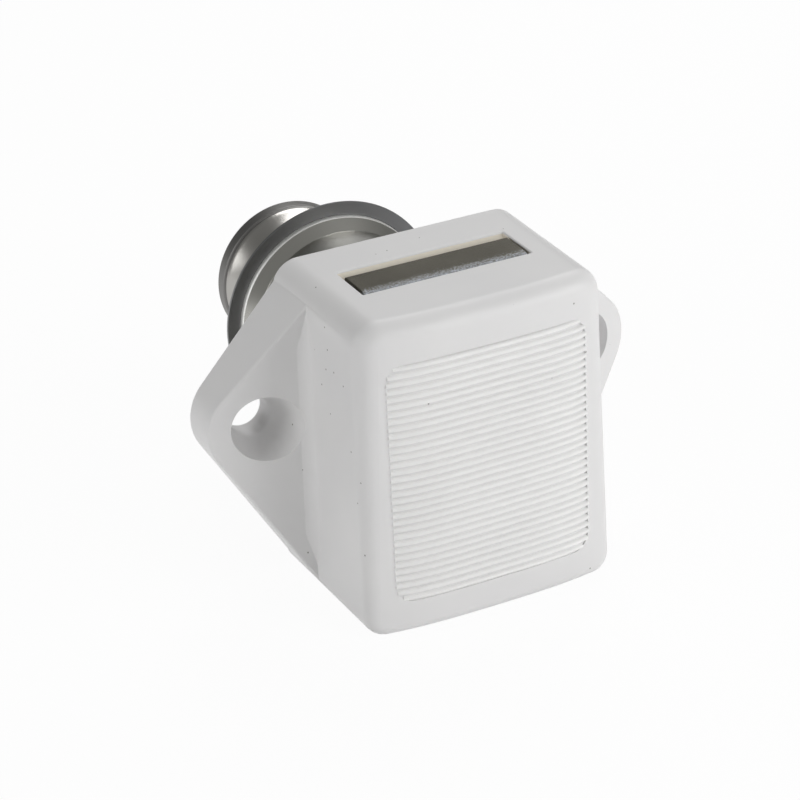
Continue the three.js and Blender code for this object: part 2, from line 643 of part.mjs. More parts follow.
// The heart-shaped track: the lane in, the notch that holds, and the lane back
function heartTrack() {
  const start = trackPoint(0);
  const end = trackPoint(pushTravel);
  const notch = [end[0] + laneHalf, end[1] - OVERTRAVEL];
  const turnOut = [RETURN_LANE_OFFSET, end[1] - RETURN_LANE_OFFSET];
  const turnBack = [RETURN_LANE_OFFSET, start[1] + RETURN_LANE_OFFSET + LANE_OFFSET];
  const legs = [
    [start, end],
    [end, notch],
    [[notch[0], end[1]], turnOut],
    [turnOut, turnBack],
    [turnBack, start],
  ];
  const mouth = -PLUNGER_BOTTOM - CUT_MARGIN;
  return legs
    .map(([from, to]) => solid(prismZ(slotShape(from, to, laneHalf), mouth, trackFloor)))
    .reduce((track, leg) => track.add(leg));
}

// Plunger: carries the stem, the drive pins and the track, and holds the return spring
function plunger() {
  const section = polygon([
    [plungerHalf, PLUNGER_CHAMFER - PLUNGER_BOTTOM],
    [plungerHalf, PLUNGER_TOP - PLUNGER_CHAMFER],
    [plungerHalf - PLUNGER_CHAMFER, PLUNGER_TOP],
    [PLUNGER_CHAMFER - plungerHalf, PLUNGER_TOP],
    [-plungerHalf, PLUNGER_TOP - PLUNGER_CHAMFER],
    [-plungerHalf, PLUNGER_CHAMFER - PLUNGER_BOTTOM],
    [PLUNGER_CHAMFER - plungerHalf, -PLUNGER_BOTTOM],
    [plungerHalf - PLUNGER_CHAMFER, -PLUNGER_BOTTOM],
  ]);
  let body = solid(prismY(section, PLUNGER_TAIL, plungerFront));
  const springPocket = rodY(springPocketRadius, plungerFront - CUT_MARGIN, SPRING_POCKET_END);
  const stemHole = rodY(STEM_RADIUS + PLAY, PLUNGER_TAIL - STEM_SEAT, PLUNGER_TAIL + CUT_MARGIN);
  body = body.subtract(solid(springPocket)).subtract(solid(stemHole));
  const pinReach = plungerHalf + CUT_MARGIN;
  body = body.subtract(solid(rodX(STEM_PIN_RADIUS + PLAY, -pinReach, pinReach, stemPinY(), 0)));
  const seat = plungerHalf - DRIVE_PIN_SEAT - PLAY;
  body = body.subtract(solid(rodX(slotHalf, seat, pinReach, drivePinY, 0)));
  body = body.subtract(solid(rodX(slotHalf, -pinReach, -seat, drivePinY, 0)));
  return geometryOf(body.subtract(heartTrack()));
}

function drivePin(side) {
  const ends = [side * (plungerHalf - DRIVE_PIN_SEAT), side * (cheekOuter - FACE_GAP)];
  return rodX(DRIVE_PIN_RADIUS, Math.min(...ends), Math.max(...ends), drivePinY, 0);
}

// Dead bolt: a head across the slot and two cheeks with slanting cam slots
function latchBolt() {
  const back = -BOLT_FRONT + BOLT_THICKNESS;
  const noseRadius = (BOLT_NOSE_RUN ** 2 + BOLT_NOSE_DROP ** 2) / (2 * BOLT_NOSE_DROP);
  const noseTurn = THREE.MathUtils.radToDeg(Math.asin(BOLT_NOSE_RUN / noseRadius));
  const noseCentre = [BOLT_NOSE_RUN - BOLT_FRONT, boltTop - noseRadius];
  const headShape = polygon([
    [-BOLT_FRONT, boltHeadBottom],
    [back, boltHeadBottom],
    [back, boltTop - PLAY],
    [back - PLAY, boltTop],
    ...arc(...noseCentre, noseRadius, 90, 90 + noseTurn, ARC_STEPS),
  ]);
  const head = solid(prismX(headShape, -BOLT_WIDTH / 2, BOLT_WIDTH / 2));
  const fullThrow = camRatio * pushTravel;
  const cheekTop = slotHalf + CHEEK_EDGE;
  const cheekShape = polygon([
    [cheekFront, -fullThrow - slotHalf - CHEEK_EDGE],
    [cheekFront + slotHalf + CHEEK_EDGE + OVERTRAVEL, -fullThrow - slotHalf - CHEEK_EDGE],
    [cheekBack, -slotHalf - CHEEK_EDGE],
    [cheekBack, cheekTop],
    [back, cheekTop],
    [back, boltHeadBottom + ROOT],
    [-BOLT_FRONT, boltHeadBottom + ROOT],
    [-BOLT_FRONT, cheekTop],
    [cheekFront, cheekTop - fullThrow],
  ]);
  const camSlot = slotShape([drivePinY, 0], [drivePinY - pushTravel, -fullThrow], slotHalf);
  const reach = cheekOuter + CUT_MARGIN;
  let body = head;
  for (const side of [-1, 1]) {
    const ends = [side * cheekInner, side * cheekOuter];
    body = body.add(solid(prismX(cheekShape, Math.min(...ends), Math.max(...ends))));
  }
  return geometryOf(body.subtract(solid(prismX(camSlot, -reach, reach))));
}

// Return spring: one unbroken helical tube along Y, and the least gap between its turns
function returnSpring() {
  const low = cavityFront + PLAY + SPRING_WIRE / 2;
  const high = SPRING_POCKET_END - PLAY - SPRING_WIRE / 2;
  const steps = SPRING_TURNS * SPRING_STEPS;
  const centres = [];
  const positions = [];
  const triangles = [];
  for (let i = 0; i <= steps; i += 1) {
    const angle = (i / SPRING_STEPS) * 2 * Math.PI;
    const outwards = new THREE.Vector3(Math.cos(angle), 0, Math.sin(angle));
    const y = low + ((high - low) * i) / steps;
    const centre = outwards.clone().multiplyScalar(SPRING_RADIUS).setY(y);
    centres.push(centre);
    for (let s = 0; s < SPRING_SIDES; s += 1) {
      const around = (s / SPRING_SIDES) * 2 * Math.PI;
      const point = centre.clone()
        .addScaledVector(outwards, (SPRING_WIRE / 2) * Math.cos(around))
        .add(new THREE.Vector3(0, (SPRING_WIRE / 2) * Math.sin(around), 0));
      positions.push(...point.toArray());
    }
  }
  for (let i = 0; i < steps; i += 1) {
    for (let s = 0; s < SPRING_SIDES; s += 1) {
      const next = (s + 1) % SPRING_SIDES;
      const a = i * SPRING_SIDES + s;
      const b = i * SPRING_SIDES + next;
      triangles.push(a, b, a + SPRING_SIDES, b, b + SPRING_SIDES, a + SPRING_SIDES);
    }
  }
  const last = steps * SPRING_SIDES;
  for (let s = 1; s < SPRING_SIDES - 1; s += 1) {
    triangles.push(0, s + 1, s, last, last + s, last + s + 1);
  }
  let nearest = Infinity;
  centres.forEach((centre, i) => {
    centres.slice(i + SPRING_STEPS / 2).forEach((other) => {
      nearest = Math.min(nearest, centre.distanceTo(other));
    });
  });
  console.log(`return_spring: least gap to itself ${(nearest - SPRING_WIRE).toFixed(2)} mm`);
  const geometry = new THREE.BufferGeometry();
  geometry.setAttribute('position', new THREE.Float32BufferAttribute(positions, 3));
  geometry.setIndex(triangles);
  geometry.computeVertexNormals();
  return geometry;
}

// Bent wire that follows the track: a leg in the shelf, an arm, and a tip turned up into the track
function trackFollower() {
  const [tipX, tipAt] = trackPoint(0);
  const corner = new THREE.Vector3(0, pivotY, armZ);
  const tipCorner = new THREE.Vector3(tipX, tipAt, armZ);
  const along = tipCorner.clone().sub(corner).normalize();
  const legEnd = new THREE.Vector3(0, pivotY, armZ - FOLLOWER_LEG + PLAY);
  const tipEnd = new THREE.Vector3(tipX, tipAt, trackFloor - PLAY);
  const legBend = corner.clone().setZ(armZ - FOLLOWER_BEND);
  const armStart = corner.clone().addScaledVector(along, FOLLOWER_BEND);
  const tipBend = Math.min(FOLLOWER_BEND, (tipEnd.z - armZ) / 2);
  const armEnd = tipCorner.clone().addScaledVector(along, -tipBend);
  const tipStart = tipCorner.clone().setZ(armZ + tipBend);
  const path = new THREE.CurvePath();
  path.add(new THREE.LineCurve3(legEnd, legBend));
  path.add(new THREE.QuadraticBezierCurve3(legBend, corner, armStart));
  path.add(new THREE.LineCurve3(armStart, armEnd));
  path.add(new THREE.QuadraticBezierCurve3(armEnd, tipCorner, tipStart));
  path.add(new THREE.LineCurve3(tipStart, tipEnd));
  const section = new THREE.Shape();
  section.absarc(0, 0, wireRadius, 0, 2 * Math.PI);
  const options = { extrudePath: path, steps: FOLLOWER_STEPS, curveSegments: ARC_STEPS / 2 };
  return new THREE.ExtrudeGeometry(section, options);
}

// Leaf spring that lifts the wire into the track, held on the shelf by the wire's leg
function followerLeaf() {
  const seat = shelfTop + FACE_GAP;
  const heel = cavityFront + PLAY;
  const shelfEdge = pivotY + SHELF_TIP;
  const tip = pivotY + LEAF_REACH;
  const strip = polygon([
    [heel, seat],
    [shelfEdge, seat],
    [tip, seat + LEAF_RISE],
    [tip, seat + LEAF_RISE + LEAF_THICKNESS],
    [shelfEdge, seat + LEAF_THICKNESS],
    [heel, seat + LEAF_THICKNESS],
  ]);
  const hole = rodZ(wireRadius + PLAY, seat - CUT_MARGIN, seat + CUT_MARGIN, pivotY);
  return geometryOf(solid(prismX(strip, -LEAF_WIDTH / 2, LEAF_WIDTH / 2)).subtract(solid(hole)));
}

// Finishes
const WHITE_PLASTIC = { color: 0xe9e9e6, roughness: 0.45, metalness: 0 };
const COVER_PLASTIC = { color: 0xdedbd2, roughness: 0.55, metalness: 0 };
const SLIDING_PLASTIC = { color: 0x2b2c2e, roughness: 0.5, metalness: 0 };
const SATIN_NICKEL = { color: 0xb4b2ac, roughness: 0.3, metalness: 1 };
const POLISHED_NICKEL = { color: 0xc6c5c0, roughness: 0.14, metalness: 1 };
const DARK_ZINC = { color: 0x5c5d5e, roughness: 0.5, metalness: 0.9 };
const BOLT_ZINC = { color: 0x7d7b6f, roughness: 0.28, metalness: 1 };
const BRIGHT_STEEL = { color: 0xa9abad, roughness: 0.3, metalness: 1 };
const SPRING_STEEL = { color: 0x8d8f92, roughness: 0.35, metalness: 1 };

const latch = new THREE.Group();

function place(name, geometry, finish) {
  const mesh = new THREE.Mesh(geometry, new THREE.MeshStandardMaterial(finish));
  mesh.name = name;
  latch.add(mesh);
}

place('housing', housing(), WHITE_PLASTIC);
place('base_cover', baseCover(), COVER_PLASTIC);
place('cover_screw_left', coverScrew(-1), BRIGHT_STEEL);
place('cover_screw_right', coverScrew(1), BRIGHT_STEEL);
place('guide_sleeve', guideSleeve(), POLISHED_NICKEL);
place('rosette_ring', rosetteRing(), DARK_ZINC);
place('knob', knob(), SATIN_NICKEL);
place('knob_stem', knobStem(), BRIGHT_STEEL);
place('stem_pin', stemPin(), BRIGHT_STEEL);
place('plunger', plunger(), SLIDING_PLASTIC);
place('drive_pin_left', drivePin(-1), BRIGHT_STEEL);
place('drive_pin_right', drivePin(1), BRIGHT_STEEL);
place('return_spring', returnSpring(), SPRING_STEEL);
place('latch_bolt', latchBolt(), BOLT_ZINC);
place('track_follower', trackFollower(), BRIGHT_STEEL);
place('follower_leaf', followerLeaf(), SPRING_STEEL);

export default latch;
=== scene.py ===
# %% [markdown]
# # Push-button furniture latch
# The CAD frame gives the sizes, the bodies and the joints of a small latch. This notebook gives it its looks.
# The pieces that show are modelled again with round edges and fine curves: the moulded housing, its grip
# ribs, the bolt, the sleeve, the rosette, the knob and the cover's screws, and inside them the spring. The
# other pieces keep their CAD shape and get a material. Lengths below are in millimetres. Each mesh is scaled
# to metres when it is finished.

# %% Load the frame
import math

import bmesh
import bpy
import numpy as np
from mathutils import Matrix, Vector


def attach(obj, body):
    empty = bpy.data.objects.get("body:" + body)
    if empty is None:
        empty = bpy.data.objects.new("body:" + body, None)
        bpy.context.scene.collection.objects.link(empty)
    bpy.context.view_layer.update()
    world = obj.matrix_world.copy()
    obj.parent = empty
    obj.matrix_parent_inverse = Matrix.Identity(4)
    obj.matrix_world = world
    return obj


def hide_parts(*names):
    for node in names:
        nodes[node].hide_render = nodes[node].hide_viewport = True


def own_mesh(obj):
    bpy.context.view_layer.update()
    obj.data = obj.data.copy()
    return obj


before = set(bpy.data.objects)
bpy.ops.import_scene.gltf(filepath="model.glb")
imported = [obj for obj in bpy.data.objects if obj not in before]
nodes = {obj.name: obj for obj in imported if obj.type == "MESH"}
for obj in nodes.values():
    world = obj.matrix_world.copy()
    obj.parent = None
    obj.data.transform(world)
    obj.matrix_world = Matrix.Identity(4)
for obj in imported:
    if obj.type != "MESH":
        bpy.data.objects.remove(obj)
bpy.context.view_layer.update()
MM = 0.001
print("CAD nodes:", sorted(nodes))

# %% [markdown]
# ## Sizes
# The sizes follow the CAD source, so that each piece lands on the node that it stands for. A few are a little
# softer or finer here: the edges, the ribs and the panel that they stand in.

# %% Sizes
HALF_WIDTH = 14
BOX_RISE, BOX_DROP, BOX_DEPTH = 15.9, 19.65, 20.5
FRONT_CROWN, CROWN_POWER, FLANK_SPREAD, FLANK_DRAFT = 1.2, 3.0, 0.5, 0.4
TOP_CORNER, FOOT_CORNER, TOP_EDGE, FOOT_EDGE = 2.8, 2.1, 2.0, 1.2
WALL, FRONT_WALL = 1.8, 2.1
HOLE_X, HOLE_Z, TIP_DROP = 19.1, 0.6, 0.3
EAR_RADIUS, EAR_TIP, EAR_SLOPE, EAR_RIM = 5.7, 4.7, 0.29, 0.32
FOOT_RADIUS, FOOT_OVERHANG, ROOT_FILLET, ROOT = 3.0, 0.25, 2.2, 0.5
HOLE_RADIUS, HEAD_RADIUS, SCREW_SEAT = 2.25, 3.6, 2.3
RIB_COUNT, RIB_PITCH, RIB_HEIGHT, RIB_THICKNESS = 33, 0.826, 0.44, 0.58
PANEL_WIDTH, PANEL_TOP, PANEL_CORNER = 22.7, 11.4, 2.0
PANEL_SINK, PANEL_CROWN, PANEL_POWER = 0.14, 0.72, 4.0
SLOT_X, SLOT_FRONT, SLOT_BACK = 9.7, -12.02, -5.75
CAVITY_X, CAVITY_FRONT = HALF_WIDTH - WALL, -(BOX_DEPTH - FRONT_WALL)
CAVITY_TOP, CAVITY_BOTTOM = BOX_RISE - WALL, -(BOX_DROP - WALL)
DOOR_GRIP = 17.2

# %% [markdown]
# ## Helpers
# A profile is a list of corners, each with the radius that rounds it. Turning a profile gives a lathe piece,
# and extruding one gives a prism. Booleans join and cut the solids in millimetres, where they are most exact.

# %% Helpers for outlines
CORNER_STEPS = 12
FRONT_STEPS = 28
EDGE_STEPS = 8


def arc(a, b, radius, start, end, steps):
    angles = np.radians(np.linspace(start, end, steps + 1))
    return [(a + radius * math.cos(t), b + radius * math.sin(t)) for t in angles]


def rounded(corners, steps=6):
    """A closed outline with each corner (a, b, radius) rounded by its radius."""
    outline = []
    count = len(corners)
    for i, (a, b, radius) in enumerate(corners):
        here = Vector((a, b))
        before = (Vector(corners[i - 1][:2]) - here).normalized()
        after = (Vector(corners[(i + 1) % count][:2]) - here).normalized()
        if radius <= 0:
            outline.append((a, b))
            continue
        half = before.angle(after) / 2
        centre = here + (before + after).normalized() * radius / math.sin(half)
        first = here + before * radius / math.tan(half) - centre
        turn = first.angle_signed(here + after * radius / math.tan(half) - centre)
        for k in range(steps + 1):
            outline.append(tuple(centre + Matrix.Rotation(-turn * k / steps, 2) @ first))
    return outline


# %% Helpers for solids
def solid(name, points, faces):
    mesh = bpy.data.meshes.new(name)
    mesh.from_pydata([tuple(p) for p in points], [], faces)
    made = bpy.data.objects.new(name, mesh)
    bpy.context.scene.collection.objects.link(made)
    return outward(made)


def outward(made):
    shape = bmesh.new()
    shape.from_mesh(made.data)
    bmesh.ops.remove_doubles(shape, verts=shape.verts, dist=1e-5)
    bmesh.ops.recalc_face_normals(shape, faces=shape.faces)
    shape.to_mesh(made.data)
    shape.free()
    return made


def walls(rings, count):
    """The quads between closed rings of so many points each."""
    return [
        (r * count + i, r * count + (i + 1) % count, (r + 1) * count + (i + 1) % count, (r + 1) * count + i)
        for r in range(rings - 1)
        for i in range(count)
    ]


def loft(name, rings):
    """Closed rings of the same length joined in order, with a cap on both ends."""
    count = len(rings[0])
    faces = walls(len(rings), count)
    last = (len(rings) - 1) * count
    faces += [tuple(range(count)), tuple(range(last, last + count))]
    return solid(name, [p for ring in rings for p in ring], faces)


def lathe(name, profile, segments=144):
    """A closed profile of (radius, y) turned about the Y axis."""
    shape = bmesh.new()
    corners = [shape.verts.new((radius, y, 0)) for radius, y in profile]
    edges = [shape.edges.new((corners[i - 1], corners[i])) for i in range(len(corners))]
    edges = [e for e in edges if max(v.co.x for v in e.verts) > 1e-6]
    bmesh.ops.spin(
        shape, geom=corners + edges, cent=(0, 0, 0), axis=(0, 1, 0), angle=2 * math.pi, steps=segments,
        use_merge=True,
    )
    bmesh.ops.delete(shape, geom=[e for e in shape.edges if not e.link_faces], context="EDGES")
    mesh = bpy.data.meshes.new(name)
    shape.to_mesh(mesh)
    shape.free()
    made = bpy.data.objects.new(name, mesh)
    bpy.context.scene.collection.objects.link(made)
    return outward(made)


def box(low, high):
    base = (low[:2], (high[0], low[1]), high[:2], (low[0], high[1]))
    return loft("box", [[(x, y, z) for x, y in base] for z in (low[2], high[2])])


def plain(made):
    """The object with its modifiers turned into a plain mesh."""
    graph = bpy.context.evaluated_depsgraph_get()
    mesh = bpy.data.meshes.new_from_object(made.evaluated_get(graph))
    made.modifiers.clear()
    old, made.data = made.data, mesh
    bpy.data.meshes.remove(old)
    return made


def boolean(target, tool, operation):
    change = target.modifiers.new(operation, "BOOLEAN")
    change.operation, change.solver, change.object = operation, "EXACT", tool
    plain(target)
    mesh = tool.data
    bpy.data.objects.remove(tool)
    bpy.data.meshes.remove(mesh)
    return target


# %% Helpers for the finish of a mesh
SMOOTH_ANGLE = math.radians(38)
SHARP_ANGLE = 0.5


def soften(made, chosen, width, segments=3):
    """Rounds the edges that a rule chooses by their two ends."""
    shape = bmesh.new()
    shape.from_mesh(made.data)
    sharp = [e for e in shape.edges if e.is_manifold and e.calc_face_angle() > SHARP_ANGLE]
    edges = [e for e in sharp if chosen(*[v.co for v in e.verts])]
    bmesh.ops.bevel(
        shape, geom=edges, offset=width, offset_type="OFFSET", segments=segments, profile=0.5, affect="EDGES",
        clamp_overlap=True,
    )
    shape.to_mesh(made.data)
    shape.free()
    return len(edges)


def named(name):
    """The material of this name, which the frame may already hold."""
    return bpy.data.materials.get(name) or bpy.data.materials.new(name)


def finished(made, name, body, slot, *replaced):
    """Smooth shading, metres, the body that carries the piece and the nodes that it stands for."""
    made.name = made.data.name = name
    made.data.shade_smooth()
    made.data.set_sharp_from_angle(angle=SMOOTH_ANGLE)
    weighted = made.modifiers.new("weighted", "WEIGHTED_NORMAL")
    weighted.keep_sharp = True
    plain(made)
    made.data.name = name
    made.data.transform(Matrix.Scale(MM, 4))
    made.data.update()
    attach(made, body)
    if replaced:
        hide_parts(*replaced)
    print(name, len(made.data.polygons), "faces")
    return made


# %% [markdown]
# ## Housing
# One white moulding: a box with a crowned front and drafted flanks, two tapered screw ears and a slot for the
# bolt. It could be box-modelled and subdivided, but then each hole needs its own loops. Here the block and
# the ears are lofts with their round edges already in the rings, so booleans only have to join and cut them.

# %% Housing block
def crown(x):
    return FRONT_CROWN * abs(x / HALF_WIDTH) ** CROWN_POWER


def spread(x, y, z):
    down = (BOX_RISE - z) / (BOX_RISE + BOX_DROP)
    wider = FLANK_SPREAD * down + FLANK_DRAFT * (1 + y / BOX_DEPTH)
    return x * (1 + wider / HALF_WIDTH)


def half_outline(inset, corner):
    radius = corner - min(inset, corner / 2)
    reach = HALF_WIDTH - inset - radius
    right = arc(reach, -radius, radius, 0, 90, CORNER_STEPS)
    edge = [(reach - 2 * reach * i / FRONT_STEPS, 0) for i in range(1, FRONT_STEPS)]
    return right + edge + [(-x, z) for x, z in reversed(right)]


def edge_ring(turn):
    """The outline where the rounded front edge has turned this far; the edge is rounder at the top."""
    ring = []
    for edge, corner, flip in ((TOP_EDGE, TOP_CORNER, 1), (FOOT_EDGE, FOOT_CORNER, -1)):
        inset = edge * (1 - math.cos(turn))
        y = -BOX_DEPTH + edge * (1 - math.sin(turn))
        level = (BOX_RISE if flip > 0 else BOX_DROP) - inset
        ring += [(x, y + crown(x), flip * (level + z)) for x, z in half_outline(inset, corner)[::flip]]
    return [(spread(*point), point[1], point[2]) for point in ring]


def housing_block():
    front = [edge_ring(t) for t in np.radians(np.linspace(0, 90, EDGE_STEPS + 1))]
    rings = [[(spread(x / spread(1, y, z), 0, z), 0, z) for x, y, z in front[0]], *front]
    count = len(rings[0])
    faces = walls(len(rings), count)
    for start in (0, (len(rings) - 1) * count):
        for i in range(count // 2 - 1):
            faces.append((start + i, start + i + 1, start + count - 2 - i, start + count - 1 - i))
    return solid("block", [p for ring in rings for p in ring], faces)


housing = housing_block()
print("housing block", len(housing.data.polygons), "faces")

# %% [markdown]
# The outline of an ear is a tight band round three circles: the tip, the foot and the upper corner of the
# box. Drawing all three circles in by the same amount gives the inset rings of its rounded rim. A concave
# fillet fills the corner between ear and flank. It is a loft too, thin at both ends so that it fades out.

# %% Screw ears
FILLET_LOW, FILLET_HIGH, FILLET_FADE, FILLET_BITE = -16.8, 13.6, 4.5, 0.04
FILLET_LEAST = 0.05


def band(circles, steps=20):
    """The outline of a tight band round circles (x, z, r) that are listed anticlockwise."""
    normals = []
    for i, (x, z, r) in enumerate(circles):
        to_x, to_z, to_r = circles[(i + 1) % len(circles)]
        along = math.atan2(to_z - z, to_x - x)
        normals.append(along - math.acos((r - to_r) / math.hypot(to_x - x, to_z - z)))
    outline = []
    for i, (x, z, r) in enumerate(circles):
        turn = (normals[i] - normals[i - 1]) % (2 * math.pi)
        start = math.degrees(normals[i - 1])
        outline += arc(x, z, r, start, start + math.degrees(turn), steps)
    return outline


def ear_outline(inset):
    foot_x = spread(HALF_WIDTH, 0, -BOX_DROP) + FOOT_OVERHANG - FOOT_RADIUS
    return band([
        (foot_x, FOOT_RADIUS - BOX_DROP, FOOT_RADIUS - inset),
        (HOLE_X, HOLE_Z - TIP_DROP, EAR_RADIUS - inset),
        (HALF_WIDTH - TOP_CORNER, BOX_RISE - TOP_CORNER, TOP_CORNER - inset),
    ])


def ear_thickness(x):
    return EAR_TIP + EAR_SLOPE * (HOLE_X + EAR_RADIUS - x)


def screw_ear(side):
    rings = [[(side * x, 0, z) for x, z in ear_outline(0)]]
    for t in np.radians(np.linspace(0, 90, 6)):
        outline = ear_outline(EAR_RIM * (1 - math.cos(t)))
        lift = EAR_RIM * (1 - math.sin(t))
        rings.append([(side * x, lift - ear_thickness(x), z) for x, z in outline])
    return loft("ear", rings)


def ear_fillet(side):
    """The concave root between an ear and the flank, which fades out towards both ends."""
    slope = math.degrees(math.atan(EAR_SLOPE))
    rings = []
    for z in np.linspace(FILLET_LOW, FILLET_HIGH, 41):
        to_end = min(z - FILLET_LOW, FILLET_HIGH - z)
        radius = ROOT_FILLET * min(1, to_end / FILLET_FADE + FILLET_LEAST)
        flank = spread(HALF_WIDTH, -ear_thickness(HALF_WIDTH), z)
        corner = -ear_thickness(flank)
        reach = radius * math.tan(math.radians((90 - slope) / 2))
        curve = arc(flank - FILLET_BITE + radius, corner + FILLET_BITE - reach, radius, 180, 90 + slope, 16)
        shape = [(flank - ROOT, corner - reach), *curve, (flank - ROOT, corner + ROOT)]
        rings.append([(side * x, y, z) for x, y in shape])
    return loft("fillet", rings)


for side in (-1, 1):
    boolean(housing, screw_ear(side), "UNION")
    boolean(housing, ear_fillet(side), "UNION")
print("housing with ears", len(housing.data.polygons), "faces")

# %% [markdown]
# The slot's cutter flares at its top, which leaves a rounded rim, and its far side slopes down to the bolt,
# as the light strip behind the bolt in the photo shows.

# %% Cavity and slot
boolean(housing, box((-CAVITY_X, CAVITY_FRONT, CAVITY_BOTTOM), (CAVITY_X, 1, CAVITY_TOP)), "DIFFERENCE")
SLOT_RIM, SLOT_SLOPE, SLOT_THROAT, SLOT_CORNER = 0.2, 1.2, -6.9, 0.15
RIM_TURN = 80


def slot_ring(grow, z, back=SLOT_BACK):
    low, high = (-SLOT_X - grow, SLOT_FRONT - grow), (SLOT_X + grow, back + grow)
    corner = SLOT_CORNER + grow
    corners = [low, (high[0], low[1]), high, (low[0], high[1])]
    return [(x, y, z) for x, y in rounded([(*point, corner) for point in corners], 4)]


slot_rings = [slot_ring(0, z, SLOT_THROAT) for z in (CAVITY_TOP - 1, BOX_RISE - SLOT_SLOPE)]
for t in np.radians(np.linspace(0, RIM_TURN, 6)):
    slot_rings.append(slot_ring(SLOT_RIM * (1 - math.cos(t)), BOX_RISE - SLOT_RIM * (1 - math.sin(t))))
slot_rings.append(slot_ring(SLOT_RIM, BOX_RISE + 0.05))
boolean(housing, loft("slot", slot_rings), "DIFFERENCE")
print("housing with slot", len(housing.data.polygons), "faces")

# %% [markdown]
# A screw hole is a bore with a bowl for the screw's head. Its cutter is turned. The bowl's rim lies on the
# ear's sloping face, so it is found by its distance from the hole's axis and bevelled after the cut. The
# panel of the ribs is a shallow pocket that follows a crown of its own, with round corners in its outline.

# %% Screw holes and panel
BOWL_POWER, HOLE_RIM = 0.75, 0.22
face, mouth = ear_thickness(HOLE_X), ear_thickness(HOLE_X - HEAD_RADIUS)
MOUTH_RADIUS = HOLE_RADIUS + (HEAD_RADIUS - HOLE_RADIUS) * (mouth - SCREW_SEAT) / (face - SCREW_SEAT)
bowl = []
for share in np.linspace(1, 0, 13):
    radius = HOLE_RADIUS + (MOUTH_RADIUS - HOLE_RADIUS) * share ** BOWL_POWER
    bowl.append((radius, -SCREW_SEAT - (mouth - SCREW_SEAT) * share))
screw_hole = [(0, -BOX_DEPTH), (MOUTH_RADIUS, -BOX_DEPTH), *bowl, (HOLE_RADIUS, 1), (0, 1)]
for side in (-1, 1):
    cutter = lathe("hole", screw_hole, 72)
    cutter.data.transform(Matrix.Translation((side * HOLE_X, 0, HOLE_Z)))
    boolean(housing, cutter, "DIFFERENCE")

panel_bottom = PANEL_TOP - RIB_COUNT * RIB_PITCH
pocket = []
for share in np.sin(np.linspace(-90, 90, 61) * math.pi / 180):
    x = share * PANEL_WIDTH / 2
    over = max(0, abs(x) - PANEL_WIDTH / 2 + PANEL_CORNER)
    inset = PANEL_CORNER - math.sqrt(max(PANEL_CORNER ** 2 - over ** 2, 1e-4))
    floor_y = PANEL_SINK - BOX_DEPTH + PANEL_CROWN * abs(share) ** PANEL_POWER
    low, high, out_y = panel_bottom + inset, PANEL_TOP - inset, -BOX_DEPTH - 1
    pocket.append([(x, floor_y, low), (x, floor_y, high), (x, out_y, high), (x, out_y, low)])
boolean(housing, loft("pocket", pocket), "DIFFERENCE")


def on_head_rim(a, b):
    away = max(math.hypot(abs(p.x) - HOLE_X, p.z - HOLE_Z) for p in (a, b))
    return away < MOUTH_RADIUS + 0.02 and max(a.y, b.y) < -SCREW_SEAT - 1


print("screw hole rim edges", soften(housing, on_head_rim, HOLE_RIM))

# %% [markdown]
# Inside the housing stand the rails that guide the bolt, the bosses for the cover's screws, the post for the
# spring and the shelf that the track wire turns in. They show once the cover is off, so they are part of the
# moulding.

# %% Guides inside the housing
RAIL_X, RAIL_BOTTOM, RAIL_TOP, RAIL_DEPTH = 8.2, -12.95, 12.3, 1.8
CHEEK_BACK = -2.3
BOSS_X, BOSS_Z, BOSS_RADIUS, BOSS_FRONT, BOSS_END = 10.0, -15.65, 2.4, -12, -2.1
PILOT_RADIUS, PILOT_END = 1.2, -9.3
POST_RADIUS, POST_LENGTH = 1.2, 4.5
PIVOT_Y, SHELF_X, SHELF_TOP, SHELF_HEIGHT, SHELF_TIP = -15.2, 3.5, -7.95, 4.6, 2.2


def rod_y(radius, low, high, x, z):
    made = lathe("rod", [(0, low), (radius, low), (radius, high), (0, high)], 48)
    made.data.transform(Matrix.Translation((x, 0, z)))
    return made


for side in (-1, 1):
    inner, outer = sorted((side * RAIL_X, side * (CAVITY_X + ROOT)))
    front_rail = (CAVITY_FRONT - ROOT, CAVITY_FRONT + RAIL_DEPTH)
    back_rail = (CHEEK_BACK - RAIL_DEPTH, CHEEK_BACK)
    for low, high in (front_rail, back_rail):
        boolean(housing, box((inner, low, RAIL_BOTTOM), (outer, high, RAIL_TOP)), "UNION")
    boolean(housing, rod_y(BOSS_RADIUS, BOSS_FRONT, BOSS_END, side * BOSS_X, BOSS_Z), "UNION")
    boolean(housing, rod_y(PILOT_RADIUS, PILOT_END, 1, side * BOSS_X, BOSS_Z), "DIFFERENCE")
boolean(housing, rod_y(POST_RADIUS, CAVITY_FRONT - ROOT, CAVITY_FRONT + POST_LENGTH, 0, 0), "UNION")
shelf_low = (-SHELF_X, CAVITY_FRONT - ROOT, SHELF_TOP - SHELF_HEIGHT)
boolean(housing, box(shelf_low, (SHELF_X, PIVOT_Y + SHELF_TIP, SHELF_TOP)), "UNION")
finished(housing, "housing_shell", "case", "white_plastic", "housing")

# %% [markdown]
# ## Grip ribs
# Thirty-three half-round ribs cross the front and follow the panel's crown. An Array modifier could repeat
# one rib, but the first and last ribs are shorter, because the panel has round corners. Geometry Nodes can
# work out each rib's length from its place, so one rib is bent to the crown once and set on a line of points.

# %% Helpers for Geometry Nodes
def math_node(tree, operation, first, second=None):
    node = tree.nodes.new("ShaderNodeMath")
    node.operation = operation
    for socket, value in zip(node.inputs, (first, second)):
        if isinstance(value, bpy.types.NodeSocket):
            tree.links.new(value, socket)
        elif value is not None:
            socket.default_value = value
    return node.outputs[0]


